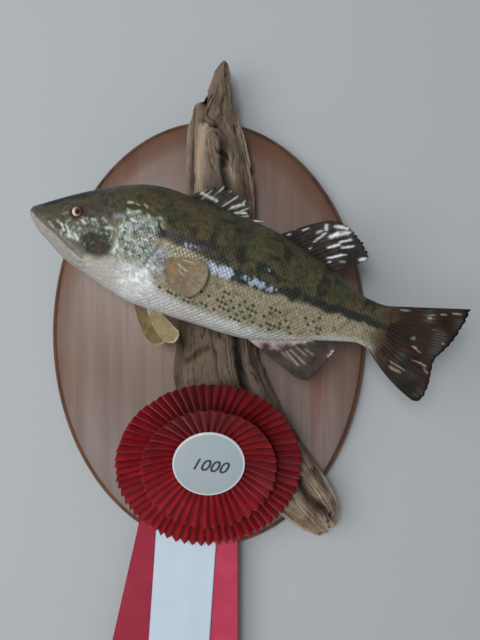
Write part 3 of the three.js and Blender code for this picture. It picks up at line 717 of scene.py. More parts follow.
varnish = {"Roughness": 0.48, "Specular_IOR_Level": 0.35, "Coat_Weight": 0.22, "Coat_Roughness": 0.16}
skinMaterial = paintedMaterial("varnishedSkin", **varnish)
scaleMaterial = paintedMaterial("varnishedScales", "scale", **varnish)

skinSettings = {"columns": 288, "headStep": 0.62, "bodyStep": 2.0, "headEnd": 122}


def makeSkin(settings):
    nose, tail = fishPlace["noseRound"], fishPlace["tailRound"]
    stations = np.concatenate([
        nose * (1 - np.cos(np.linspace(0.12, math.pi / 2, 7))),
        np.arange(nose + settings["headStep"], settings["headEnd"], settings["headStep"]),
        np.arange(settings["headEnd"], tailRoundFrom, settings["bodyStep"]),
        tailRoundFrom + tail * np.sin(np.linspace(0.1, math.pi / 2 - 0.08, 7))])
    turns = np.linspace(0, 2 * math.pi, settings["columns"], endpoint=False)
    x, turn = np.meshgrid(stations, turns, indexing="ij")
    points = skinSurface(x, turn)
    rows, columns = x.shape
    faces = gridFaces(rows, columns, wrap=True).tolist()
    ends = [points[0].mean(0) - np.array([0.15, 0, 0]), points[-1].mean(0)]
    flat = np.vstack([points.reshape(-1, 3), ends])
    last = (rows - 1) * columns
    faces += [[len(flat) - 2, (k + 1) % columns, k] for k in range(columns)]
    faces += [[len(flat) - 1, last + k, last + (k + 1) % columns] for k in range(columns)]
    uv = np.stack([onMap(x / fishPlace["fleshLength"]), onMap(turn / (2 * math.pi))], -1).reshape(-1, 2)
    uv = np.vstack([uv, [[0.01, 0.5], [0.99, 0.5]]])
    skin = makeMesh("bass_skin", toRoom(flat), faces, skinMaterial, uv, {"tone": fishTone(flat)})
    fixNormals(skin)
    place(skin, "skin", "head", "lower_jaw", "upper_jaw_plate_left", "upper_jaw_plate_right",
          "gill_cover_left", "gill_cover_right", "trunk", "tail_stock")
    print("skin:", len(faces), "faces")


makeSkin(skinSettings)

# scales: small closed plates, laid in rows that follow the side line

scaleSettings = {
    "body": {"along": 3.7, "row": 2.2, "length": 5.8, "width": 4.6, "tipLift": 0.09},
    "cheek": {"along": 2.5, "row": 1.6, "length": 3.6, "width": 3.2, "tipLift": 0.08},
    "cover": {"along": 3.1, "row": 1.9, "length": 4.4, "width": 3.9, "tipLift": 0.08},
    "side": 5, "rootSunk": 0.08, "underside": 0.4, "bellySleek": 0.85, "mapPatch": 0.003,
}

# arc length round the half section, measured from the side line, and the turn that it belongs to
stationStep, arcStep = 1.0, 0.5
sectionX = np.arange(0, fishPlace["fleshLength"] + stationStep, stationStep)
sectionArc = np.arange(-90, 90.1, arcStep)
halfTurns = np.linspace(0, math.pi, 241)


def sectionTables():
    turnAt = np.empty((len(sectionX), len(sectionArc)))
    limits = np.empty((len(sectionX), 2))
    for i, x in enumerate(sectionX):
        ring = skinPoint(np.full(len(halfTurns), x), halfTurns, fishPlace["coatDepth"])
        run = np.concatenate([[0], np.cumsum(np.hypot(np.diff(ring[:, 1]), np.diff(ring[:, 2])))])
        start = np.interp(-lateralLine(x), -ring[:, 2], run)
        turnAt[i] = np.interp(start - sectionArc, run, halfTurns)
        limits[i] = start - run[-1], start
    return turnAt, limits


turnTable, arcLimits = sectionTables()


def turnFor(x, arc):
    i = np.clip(x / stationStep, 0, len(sectionX) - 1.001)
    j = np.clip((arc - sectionArc[0]) / arcStep, 0, len(sectionArc) - 1.001)
    i0, j0 = i.astype(int), j.astype(int)
    fi, fj = i - i0, j - j0
    low = turnTable[i0, j0] * (1 - fj) + turnTable[i0, j0 + 1] * fj
    high = turnTable[i0 + 1, j0] * (1 - fj) + turnTable[i0 + 1, j0 + 1] * fj
    return low * (1 - fi) + high * fi


def latticeOf(settings, xLow, xHigh):
    # places of the scales: x, arc and which may carry a tick
    rows = np.arange(-50, 51)
    steps = np.arange(0, int((xHigh - xLow) / settings["along"]) + 1)
    row, step = np.meshgrid(rows, steps, indexing="ij")
    x = xLow + (step + 0.5 * (row % 2)) * settings["along"]
    arc = row * settings["row"]
    x = x + randomDraw.normal(0, 0.05, x.shape) * settings["along"]
    arc = arc + randomDraw.normal(0, 0.04, x.shape) * settings["row"]
    often = (row // 2 + step) % 2 == 0
    even = (row % 2 == 0) & (often | (randomDraw.uniform(0, 1, x.shape) < 0.3))
    x, arc, even = x.ravel(), arc.ravel(), even.ravel()
    low = np.interp(x, sectionX, arcLimits[:, 0])
    high = np.interp(x, sectionX, arcLimits[:, 1])
    keep = (arc > low - settings["row"] * 0.3) & (arc < high + settings["row"] * 0.3) & (x < xHigh)
    return x[keep], arc[keep], even[keep]


def ticksAt(x, z):
    # how many of the scales carry a dark tick
    share = mound((z + 28) / 3.2, 1) * ease(124, 130, x) * ease(238, 222, x)
    share = np.maximum(share, 0.55 * ease(-8, -14, z) * ease(150, 175, x) * ease(275, 262, x))
    share = np.maximum(share, 0.95 * mound(np.hypot((x - 228) / 11, (z + 23) / 7), 1))
    share = np.maximum(share, 0.9 * mound(np.hypot((x - 255) / 10, (z + 16) / 7), 1))
    return share * ease(0, 3, z - paleTop(x))


def scalePlates(name, x, arc, even, side, settings, size):
    # a plate is a square grid of points, rounded at its tip, with a floor below its outline
    grid = scaleSettings["side"]
    topCount = grid * grid
    across, along = np.meshgrid(np.linspace(-1, 1, grid), np.linspace(0, 1, grid))
    across, along = across.ravel(), along.ravel()
    cells = np.arange(topCount).reshape(grid, grid)
    ring = np.concatenate([cells[0], cells[1:, -1], cells[-1, -2::-1], cells[-2:0:-1, 0]])
    topFaces = gridFaces(grid, grid)
    count = len(x)
    length = settings["length"] * size[:, None]
    width = settings["width"] * size[:, None]
    spread = 0.66 + 0.34 * np.sin(np.clip(along * 1.25 + 0.15, 0, 1) * math.pi / 2)
    dx = along * (1 - 0.36 * across ** 2 * along) * length
    da = across * spread * width / 2
    seed = randomDraw.uniform(0, 1, count)
    sunk = scaleSettings["rootSunk"]
    lift = (-sunk + (settings["tipLift"] + sunk) * along) + 0.03 * (1 - across ** 2) * along
    height = skinPoint(x, side * turnFor(x, arc), 0)[:, 2]
    sleek = 1 - scaleSettings["bellySleek"] * ease(6, -8, height - paleTop(x))
    lift = lift[None, :] * (0.85 + 0.3 * seed[:, None]) * sleek[:, None]
    px, pa = x[:, None] + dx, arc[:, None] + da
    pieceTop = side * turnFor(px, pa)
    top = skinSurface(px, pieceTop, lift)
    underside = np.full((count, len(ring)), -scaleSettings["underside"])
    low = skinSurface(px[:, ring], pieceTop[:, ring], underside)
    each = topCount + len(ring)
    points = np.concatenate([top, low], 1)
    rim = np.arange(len(ring))
    following = np.roll(rim, -1)
    walls = np.stack([ring[rim], topCount + rim, topCount + following, ring[following]], -1)
    quads = np.vstack([topFaces, walls])
    if side > 0:
        quads = quads[:, ::-1]
    floorRing = topCount + (rim if side > 0 else rim[::-1])
    offsets = np.arange(count)[:, None, None] * each
    faces = (quads[None] + offsets).reshape(-1, 4).tolist()
    faces += (floorRing[None, :] + np.arange(count)[:, None] * each).tolist()

    middle = cells[grid // 2 + 1, grid // 2]
    tick = even & (randomDraw.uniform(0, 1, count) < ticksAt(top[:, middle, 0], top[:, middle, 2]))
    fields = {
        "tone": fishTone(points.reshape(-1, 3)), "metal": 0.3 * silverAndGlintsAt(points)[0].ravel(),
        "scaleSeed": np.repeat(seed, each), "tick": np.repeat(tick * 1.0, each),
        "scaleAlong": np.tile(np.concatenate([along, along[ring]]), count),
        "scaleAcross": np.tile(np.concatenate([across, across[ring]]), count)}
    home = np.stack([onMap(x / fishPlace["fleshLength"]), 0.5 + (0.24 + arc / 400) * side], -1)
    patch = np.stack([along, across / 2], -1)
    patch = np.concatenate([patch, patch[ring]])
    uv = (home[:, None, :] + scaleSettings["mapPatch"] * patch[None]).reshape(-1, 2)
    piece = makeMesh(name, toRoom(points.reshape(-1, 3)), faces, scaleMaterial, uv, fields)
    # only the scale's face is shaded smooth, so its edge stays crisp and thin
    smooth = np.append(np.tile(np.arange(len(quads)) < len(topFaces), count), np.zeros(count, bool))
    piece.data.polygons.foreach_set("use_smooth", smooth)
    fixNormals(piece)
    place(piece, "skin")
    print(name + ":", count, "scales")


def addScales(settings):
    cheekPatch = smoothLine([
        (50, 5), (60, 7.5), (69, 10), (72.5, 2), (73, -8), (68, -16.5), (61, -21), (61, -14),
        (56, -8), (49, -4)], 40, closed=True)
    for side, word in ((1, "left"), (-1, "right")):
        x, arc, even = latticeOf(settings["body"], 62, 312)
        z = skinPoint(x, turnFor(x, arc), 0)[:, 2]
        clear = insideOf(gillCover, x, z) < -1.4
        start = 112 - ease(24, 46, z) * 37 - ease(-30, -40, z) * 7
        keep = (x > start + 3 * softNoise(np.stack([x, z], -1), 5, 8)) & clear & (x < 309)
        x, arc, even = x[keep], arc[keep], even[keep]
        size = 0.72 + 0.28 * ease(70, 120, x) - 0.22 * ease(270, 312, x)
        for part, low, high in (("front", 0, 168), ("middle", 168, 228), ("rear", 228, 400)):
            mine = (x >= low) & (x < high)
            scalePlates(f"scales_{part}_{word}", x[mine], arc[mine], even[mine], side,
                        settings["body"], size[mine])
        for patchName, outline, margin in (("cheek", cheekPatch, 0.0), ("cover", gillCover, 2.6)):
            x, arc, even = latticeOf(settings[patchName], 40, 116)
            z = skinPoint(x, turnFor(x, arc), 0)[:, 2]
            keep = insideOf(outline, x, z) > margin
            keep &= insideOf(outline, x + settings[patchName]["length"], z) > margin * 0.3 - 1
            if patchName == "cover":
                keep &= (z > -22) & (x > 79)
            scalePlates(f"scales_{patchName}_{word}", x[keep], arc[keep], even[keep], side,
                        settings[patchName], np.ones(keep.sum()))


addScales(scaleSettings)

# eyes: glass, with the pupil set a little toward the tail

eyeSettings = {
    "columns": 64, "rows": 40, "pupilShift": 1.2, "irisRadius": 4.4,
    "cream": paint(240, 214, 186), "peach": paint(190, 148, 120), "brown": paint(78, 48, 42),
}


def makeEyeMaterial(settings):
    shader = Shader("glassEye", Roughness=0.08, Coat_Weight=1.0, Coat_Roughness=0.03)
    away = shader.field("fromPupil")
    streaks = shader.noise(shader.place(), 900, 3)
    # litIris shades the iris: painted light to the lower left, painted shade to the top right under the brow
    ring = shader.blend(shader.field("litIris"), settings["brown"], settings["peach"])
    ring = shader.blend(shader.between(shader.field("litIris"), 0.58, 0.98), ring, settings["cream"])
    ring = shader.blend(shader.between(streaks, 0.45, 0.7, 0, 0.25), ring, settings["brown"])
    ring = shader.blend(shader.between(away, 0.86, 1.0), ring, paint(50, 28, 26))
    ring = shader.blend(shader.between(away, 0.54, 0.40), ring, paint(8, 6, 7))
    shader.set(Base_Color=ring)
    shader.bump(streaks, 0.05, 0.0002)
    return shader.material


def addEyes(settings):
    material = makeEyeMaterial(settings)
    centreX, centreZ, globe = eyeAt["x"], eyeAt["z"], eyeAt["radius"]
    for side, word in ((-1, "left"), (1, "right")):
        # a globe with a slightly steeper clear front, turned about the line out of the head
        polar = np.linspace(0.0, math.pi, settings["rows"])[1:-1]
        radius = globe * (1 + 0.02 * mound(polar, 0.35))
        around = np.linspace(0, 2 * math.pi, settings["columns"], endpoint=False)
        middle = -bow(centreX) + side * (eyeAt["skull"] + eyeAt["standsOut"] - globe)
        x = centreX + (radius * np.sin(polar))[:, None] * np.cos(around)
        z = centreZ + (radius * np.sin(polar))[:, None] * np.sin(around)
        y = middle + side * (radius * np.cos(polar))[:, None] + 0 * around
        faces = gridFaces(len(polar), len(around), wrap=True).tolist()
        tips = [[centreX, middle + side * globe * 1.02, centreZ], [centreX, middle - side * globe, centreZ]]
        points = np.vstack([np.stack([x, y, z], -1).reshape(-1, 3), tips])
        count, total = len(around), len(points)
        for k in range(count):
            following = (k + 1) % count
            faces.append([total - 2, k, following])
            faces.append([total - 1, total - 2 - count + following, total - 2 - count + k])
        dx, dz = points[:, 0] - centreX, points[:, 2] - centreZ
        rearward = points[:, 1] * side < middle * side
        away = np.hypot(dx - settings["pupilShift"] * (1 - np.hypot(dx, dz) / settings["irisRadius"]), dz)
        # litIris: painted light and shade on the iris, lighter to the lower left and darker to the top right
        fields = {
            "fromPupil": np.where(rearward, 1.2, away / settings["irisRadius"]),
            "litIris": np.clip(0.56 - (0.85 * dx + 0.5 * dz) / 6, 0, 1)}
        eye = makeMesh(f"glass_eye_{word}", toRoom(points), faces, material, fields=fields)
        fixNormals(eye)
        place(eye, "eye_glass", f"eye_{word}")
    print("eyes set")


addEyes(eyeSettings)


# fins: a thin web between rays, one closed mesh each

finSettings = {"webHalf": 0.26, "columnsPerRay": 12, "rows": 34, "sunkRoot": -0.07}

pectoralPaint = {
    "web": (130, 114, 88), "dark": (114, 99, 82), "ray": (152, 138, 102),
    "edgeTone": (130, 116, 84), "bright": (206, 192, 156),
}

# marks: from x, z to x, z, width, colour and strength; the bright marks are painted highlights in the
# varnish, the others stains and flushes of colour
finShapes = {
    "dorsal_fin_spiny": {
        "root": [(118, 53.6, 0), (133, 54, 0), (148, 53.6, 0), (160, 53.2, 0), (176, 52.2, 0)],
        "edge": [(128, 63.5, 0), (136, 70, 0), (144, 75.2, 0), (152, 76.2, 0), (160, 72.6, 0),
                 (168, 70.4, 0), (173.3, 66.5, 0), (173.4, 60.5, 0), (178, 56.3, 0), (190, 57.8, 0)],
        "rays": 11, "rootHalf": 1.3, "notch": 0.24, "fray": 0.02, "ridge": 0.62, "spiny": 1,
        "slot": "dark_fin", "wave": 0.5, "sunk": -0.3, "rayShare": 0.55, "spineLight": 0.7,
        "web": (40, 42, 32), "dark": (28, 26, 24), "ray": (92, 82, 68),
        "edgeTone": (24, 22, 20), "bright": (214, 216, 204),
        "marks": [(129.6, 62.6, 137, 61.6, 1.1, "bright", 0.9), (139, 61, 143.6, 60.4, 1.2, "bright", 0.9),
                  (158, 59, 169, 67, 1.1, "bright", 0.8), (162, 55.6, 173, 60, 0.9, "bright", 0.9),
                  (180.3, 54.9, 188, 56.8, 1.0, "bright", 1.0)],
    },
    "dorsal_fin_soft": {
        "root": [(203, 49.5, 0), (222, 45.5, 0), (240, 40, 0), (256, 34.3, 0)],
        "edge": [(240, 76, 0), (250, 77.6, 0), (260, 75.8, 0), (268, 71.2, 0), (276.5, 65.2, 0),
                 (281.6, 58.5, 0), (281.8, 53.8, 0)],
        "rays": 14, "rootHalf": 1.2, "notch": 0.03, "fray": 0.03, "ridge": 0.26, "spiny": 0, "lead": 1.5,
        "slot": "dark_fin", "wave": 1.0, "sunk": -0.12, "rayShare": 0.22,
        "web": (42, 35, 28), "dark": (28, 25, 20), "ray": (66, 53, 42),
        "edgeTone": (10, 10, 10), "bright": (236, 240, 244),
        "marks": [(239.2, 71, 240.4, 67.4, 0.99, "bright", 0.92),
                  (247, 72.6, 257, 74.6, 1.12, "bright", 0.86), (246, 63, 251, 68, 1.32, "bright", 0.98),
                  (250, 66, 257, 70.6, 1.58, "bright", 0.86), (257, 70, 260, 71.6, 0.92, "bright", 0.8),
                  (247, 53.7, 254.6, 59, 0.92, "bright", 1),
                  (258.2, 57.4, 266.3, 61.4, 0.86, "bright", 0.8),
                  (255, 61.2, 262.6, 66, 0.86, "bright", 0.86),
                  (249.4, 44.9, 259.2, 51, 0.79, "bright", 1),
                  (259.2, 51, 263.1, 52.6, 0.59, "bright", 0.57),
                  (251.4, 42.2, 252.2, 42.6, 0.66, "bright", 1),
                  (232.5, 47.8, 233, 48.2, 0.59, "bright", 0.8),
                  (234, 54.6, 240.7, 64.6, 0.79, "bright", 0.69),
                  (234.4, 63, 236.8, 65.2, 1.19, "bright", 0.52),
                  (206.5, 54.4, 214.6, 59.8, 0.66, "bright", 0.86),
                  (211, 53, 212, 53.6, 0.73, "bright", 0.69),
                  (222, 60.8, 225.4, 63.6, 0.59, "bright", 0.69),
                  (275.6, 52.6, 279.4, 54.6, 1.06, "bright", 0.86),
                  (260.6, 45.4, 263.4, 46.4, 0.99, "bright", 0.34),
                  (243.6, 67.4, 245, 68.4, 1.0, "edgeTone", 1.0),
                  (248, 51.4, 262, 56.6, 0.9, "edgeTone", 0.7)],
    },
    "tail_fin": {
        "root": [(303, 20.6, 0), (312, 10, 0), (314, 0, 0), (312, -10, 0), (306, -16.6, 0)],
        "edge": [(374.6, 42.3, 0), (373.9, 34.5, 0), (372.4, 25.5, 0), (370.2, 15.5, 0), (366, 4.5, 0),
                 (361.6, -3.5, 0), (360.2, -10.5, 0), (361.4, -20, 0), (362.2, -30, 0),
                 (361.2, -39.5, 0), (358, -44.8, 0), (354, -45.3, 0)],
        "rays": 17, "rootHalf": 2.1, "notch": 0.014, "fray": 0.008, "ridge": 0.2, "spiny": 0, "bodyTo": 319,
        "swell": -3.5, "slot": "dark_fin", "wave": 1.2, "sunk": -0.08, "rayShare": 0.28,
        "web": (40, 19, 5), "dark": (22, 20, 8), "ray": (50, 29, 14),
        "edgeTone": (6, 7, 8), "bright": (180, 174, 160),
        "marks": [(345.4, 24.2, 346.4, 24.4, 0.81, "bright", 0.9),
                  (343.6, 25.8, 348.2, 28.2, 0.5, "bright", 0.5),
                  (353.4, 30.4, 357, 31.4, 0.56, "bright", 0.7),
                  (362.2, 34, 367.6, 35.6, 0.56, "bright", 0.6),
                  (322, 23.4, 328, 25.2, 0.81, "bright", 0.6),
                  (337.8, 3.6, 338.8, 4.4, 0.99, "bright", 0.6),
                  (340.4, -2.7, 342.6, -3, 0.68, "bright", 0.7),
                  (342, -3.4, 347.5, -5.6, 0.5, "bright", 0.45),
                  (352, 16, 352.6, 16.2, 0.56, "bright", 0.6),
                  (362.2, 7.6, 362.8, 7.8, 0.56, "bright", 0.6),
                  (327.1, -20.7, 340, -23.6, 0.5, "bright", 0.6),
                  (328.7, -25.2, 336.6, -26.4, 0.93, "bright", 0.55),
                  (343, -13.7, 349, -13.6, 0.43, "bright", 0.5),
                  (349.4, -13.6, 355.1, -14.8, 0.56, "bright", 0.75),
                  (354.6, -16.9, 357.6, -19.4, 0.81, "bright", 0.4)],
    },
    "anal_fin": {
        "root": [(206, -42, 0), (223, -37.2, 0), (241, -31.6, 0), (256, -25.8, 0)],
        "edge": [(258, -60.4, 0), (264.4, -60.3, 0), (269, -58.3, 0), (272.6, -53, 0), (275, -47, 0),
                 (278, -36.5, 0), (282, -24.5, 0)],
        "rays": 14, "rootHalf": 1.2, "notch": 0.02, "fray": 0.02, "ridge": 0.22, "spiny": 0,
        "slot": "pale_fin", "wave": 0.9, "sunk": -0.16, "rayShare": 0.25, "paleRoot": 1,
        "web": (64, 55, 49), "dark": (50, 42, 37), "ray": (86, 73, 63),
        "edgeTone": (60, 52, 46), "bright": (196, 180, 162),
        "marks": [(239.9, -43.7, 248.3, -46.8, 0.9, "bright", 0.4),
                  (243, -42, 255, -49.2, 0.9, "bright", 0.45),
                  (245.6, -39.3, 260, -46.2, 0.9, "bright", 0.4),
                  (249.7, -35.4, 258.8, -39.4, 0.9, "bright", 0.35),
                  (257, -34.6, 264.4, -36.6, 0.8, "bright", 0.3),
                  (245.6, -41.4, 257, -47.8, 0.8, "socketTone", 0.7),
                  (241.4, -43.4, 250, -47.8, 0.7, "socketTone", 0.5),
                  (277.9, -33.5, 279.6, -28.6, 1.2, "bright", 0.9)],
    },
    "pectoral_fin_left": {
        "root": [(122.5, -1, 29), (123.5, -6, 29), (124, -11.5, 28.5)],
        "edge": [(150, 6.5, 35), (157, 3.5, 36), (160.3, -4, 36), (159.5, -15, 36), (152, -25, 35),
                 (139, -25, 34)],
        "rays": 13, "rootHalf": 1.4, "notch": 0, "fray": 0, "ridge": 0.14, "spiny": 0,
        "swell": -2.5, "rise": 1.5, "slot": "pale_fin", "wave": 0.5, "sunk": -0.1, "rayShare": 0.55,
        **pectoralPaint,
        "marks": [(134, -3, 143, -6.4, 0.6, "bright", 0.8), (137, 1.4, 146, 1.6, 0.6, "bright", 0.45),
                  (136, -7.6, 141, -10.4, 0.7, "bright", 0.4), (125, -5, 130, -9, 3.2, "flush", 0.5)],
    },
    "pectoral_fin_right": {
        "root": [(126, -2, -29), (123.5, -6, -29), (120, -11.5, -28.5)],
        "edge": [(137, -19, -32), (137, -29, -33), (131, -37, -33), (124, -38.5, -33),
                 (117.5, -34, -33), (115, -25, -32)],
        "rays": 11, "rootHalf": 1.4, "notch": 0, "fray": 0, "ridge": 0.14, "spiny": 0,
        "rise": -1, "slot": "pale_fin", "wave": 0.4, "sunk": -0.1, "rayShare": 0.2, "marks": [],
        **pectoralPaint,
    },
    "pelvic_fin_left": {
        "root": [(123, -42, 6), (119.5, -42.5, 7), (116, -42.5, 7)],
        "edge": [(151, -55.4, 12), (152.6, -59.5, 13), (151.5, -64.5, 13), (147.5, -67, 13),
                 (141.5, -67, 12)],
        "rays": 8, "rootHalf": 1.3, "notch": 0.01, "fray": 0.01, "ridge": 0.2, "spiny": 0,
        "swell": -4, "slot": "pale_fin", "wave": 0.4, "sunk": -0.1, "rayShare": 0.25, "paleRoot": 1,
        "web": (146, 132, 92), "dark": (136, 120, 92), "ray": (160, 144, 104),
        "edgeTone": (206, 190, 164), "bright": (226, 214, 188),
        "marks": [(124, -43.6, 132, -45.4, 1.0, "bright", 0.9),
                  (132, -45.4, 150, -54.8, 0.9, "bright", 0.4)],
    },
    "pelvic_fin_right": {
        "root": [(118, -43, -5), (111, -43, -6), (103.5, -42.5, -6)],
        "edge": [(141.5, -64.5, -9), (141.5, -69, -10), (138, -73, -10), (134, -75.2, -10),
                 (129, -73.2, -9)],
        "rays": 8, "rootHalf": 1.3, "notch": 0.01, "fray": 0.01, "ridge": 0.2, "spiny": 0,
        "swell": -4.5, "slot": "pale_fin", "wave": 0.4, "sunk": -0.1, "rayShare": 0.25,
        "web": (134, 112, 76), "dark": (114, 98, 66), "ray": (148, 128, 92),
        "edgeTone": (184, 162, 132), "bright": (214, 202, 172),
        "marks": [(122, -50, 136, -64, 1.2, "dark", 0.7)],
    },
}


def finTone(spec, points, ray, out):
    # the paint on a fin, at points in the fish's axes
    x, z = points[..., 0], points[..., 2]
    colours = {"flush": tint(176, 124, 96), "socketTone": tint(58, 44, 40)}
    colours.update({key: tint(*spec[key]) for key in ("web", "dark", "ray", "edgeTone", "bright")})
    shade = softNoise(points, 7, 61) + 0.6 * softNoise(points, 2.8, 62)
    tone = mix(colours["web"], colours["dark"], ease(-0.2, 0.5, shade))
    tone = mix(tone, colours["ray"], spec["rayShare"] * ray * ease(-0.5, 0.4, softNoise(points, 5, 63)))
    tone = mix(tone, colours["ray"], 0.5 * ease(0.3, 0.7, softNoise(points, 2.4, 64)))
    tone = mix(tone, colours["edgeTone"], ease(0.93, 0.985, out + 0.02 * shade))
    # painted highlights along the front of each spine
    if "spineLight" in spec:
        lit = ray ** 2 * ease(0.1, 0.3, out) * ease(1.0, 0.85, out)
        lit = lit * ease(-0.4, 0.3, softNoise(points, 6, 65))
        tone = mix(tone, colours["bright"], spec["spineLight"] * lit)
    tone = addMarks(tone, x, z, spec["marks"], colours, softNoise(points, 1.6, 66) - 0.6 * ray)
    if "bodyTo" in spec:
        tone = mix(tone, fishTone(points), ease(spec["bodyTo"] + 5, spec["bodyTo"] - 6, x + 5 * shade))
    if "paleRoot" in spec:
        tone = mix(tone, fishColours["bellyPink"], 0.75 * ease(0.3, 0.02, out + 0.1 * shade))
    return tone


def makeFin(name, spec, settings):
    rays = spec["rays"]
    count = (rays - 1) * settings["columnsPerRay"] + 1
    root, edge = evenLine(spec["root"], count), evenLine(spec["edge"], count)
    u = np.linspace(0, rays - 1, count)
    between = np.abs(u - np.round(u)) * 2
    draw = np.random.default_rng(len(name) * 7 + rays)
    if spec["spiny"]:
        drawn = spec["notch"] * np.clip(1 - np.abs(2 * ((u + 0.12) % 1) - 1), 0, 1) ** 0.7
    else:
        drawn = spec["notch"] * (1 - np.abs(np.cos(np.pi * u)))
        drawn += spec["fray"] * draw.uniform(-0.3, 1, count)
        drawn += spec["fray"] * 0.8 * np.abs(softNoise(np.stack([u * 0.9, u * 0], -1), 1.0, rays))
    v = np.linspace(settings["sunkRoot"], 1, settings["rows"])
    v = np.where(v < 0, v * spec["sunk"] / settings["sunkRoot"], v)
    out = v[None, :] * np.where(v[None, :] > 0.6, 1 - drawn[:, None] * (v[None, :] - 0.6) / 0.4, 1)
    spot = root[:, None] + (edge - root)[:, None] * out[..., None]
    bulge = 4 * np.clip(out, 0, 1) * (1 - np.clip(out, 0, 1))
    across = (u / (rays - 1))[:, None]
    x = spot[..., 0]
    z = spot[..., 1] + (spec.get("swell", 0) * across + spec.get("lead", 0) * (1 - across) ** 2) * bulge
    wave = spec["wave"] * np.clip(out, 0, 1) * softNoise(np.stack([x, z], -1), 13, rays)
    middle = -bow(x) - spot[..., 2] - spec.get("rise", 0) * bulge + wave
    if spec["spiny"]:
        ray = mound(between, 0.34)[:, None] * np.ones_like(out)
        ridge = mound(between, 0.30)[:, None] * (1 - 0.5 * np.clip(out, 0, 1))
    else:
        # each soft ray splits in two, and each half again near the edge
        split = np.abs(between[:, None] - 0.34 * ease(0.25, 1.0, out))
        split = np.abs(split - 0.16 * ease(0.62, 1.0, out))
        ridge = mound(split, 0.34 - 0.16 * np.clip(out, 0, 1)) * (1 - 0.45 * np.clip(out, 0, 1))
        ray = ridge
    rootSwell = spec["rootHalf"] * np.clip(1 - out / 0.35, 0, 1) ** 2
    half = settings["webHalf"] + spec["ridge"] * ridge + rootSwell * (0.4 + 0.6 * ridge)
    half = half * np.where(v[None, :] > 0.96, 0.75, 1.0)
    front = np.stack([x, middle - half, z], -1)
    back = np.stack([x, middle + half, z], -1)[:, ::-1]
    ring = np.concatenate([front, back], 1)
    width = ring.shape[1]
    faces = gridFaces(count, width, wrap=True).tolist()
    rows = settings["rows"]
    for j in range(rows - 1):
        faces.append([j, j + 1, 2 * rows - 2 - j, 2 * rows - 1 - j])
        base = (count - 1) * width
        faces.append([base + 2 * rows - 1 - j, base + 2 * rows - 2 - j, base + j + 1, base + j])
    ray, out = frontAndBack(ray), frontAndBack(out)
    fields = {"ray": ray.ravel(), "finOut": out.ravel(), "tone": finTone(spec, ring, ray, out).reshape(-1, 3)}
    fin = makeMesh(name, toRoom(ring.reshape(-1, 3)), faces, finMaterial, fields=fields)
    fixNormals(fin)
    place(fin, spec["slot"], name)
    return len(faces)


finMaterial = paintedMaterial(
    "varnishedFins", "fin", Roughness=0.5, Specular_IOR_Level=0.22, Coat_Weight=0.06, Coat_Roughness=0.2)
print("fins:", sum(makeFin(name, spec, finSettings) for name, spec in finShapes.items()), "faces")


# rosette frame, used by the ribbon pieces and to keep the wood behind them

rosetteSettings = {
    "centre": (1.2, -52.0, -113.8), "lean": math.radians(21), "roll": math.radians(-8),
    "columnsPerPleat": 14, "rows": 26, "thickness": 0.36,
    "stapled": 1.5, "lap": 12,  # ribbon hidden under the middle, and where its ends meet
    "outer": {
        "pleats": 66, "inner": 30, "outer": 82.3, "innerForward": -3.6, "outerForward": 10,
        "depth": 5.4, "innerDepth": 3.8},
    "middle": {
        "pleats": 42, "inner": 28, "outer": 60, "innerForward": 0.4, "outerForward": 15,
        "depth": 5.2, "innerDepth": 4.4},
    "red": paint(142, 12, 26), "redDeep": paint(74, 4, 12), "redLight": paint(168, 26, 38),
}


def fromRosette(points):
    # rosette axes in millimetres, forward being -y, to the shared frame in millimetres
    lean, roll = rosetteSettings["lean"], rosetteSettings["roll"]
    x, y, z = points[..., 0], points[..., 1], points[..., 2]
    y, z = y * math.cos(lean) - z * math.sin(lean), y * math.sin(lean) + z * math.cos(lean)
    x, z = x * math.cos(roll) + z * math.sin(roll), -x * math.sin(roll) + z * math.cos(roll)
    return np.stack([x, y, z], -1) + np.array(rosetteSettings["centre"])


def toRosette(points):
    lean, roll = rosetteSettings["lean"], rosetteSettings["roll"]
    x, y, z = np.moveaxis(points - np.array(rosetteSettings["centre"]), -1, 0)
    x, z = x * math.cos(roll) - z * math.sin(roll), x * math.sin(roll) + z * math.cos(roll)
    y, z = y * math.cos(lean) + z * math.sin(lean), -y * math.sin(lean) + z * math.cos(lean)
    return np.stack([x, y, z], -1)


# driftwood

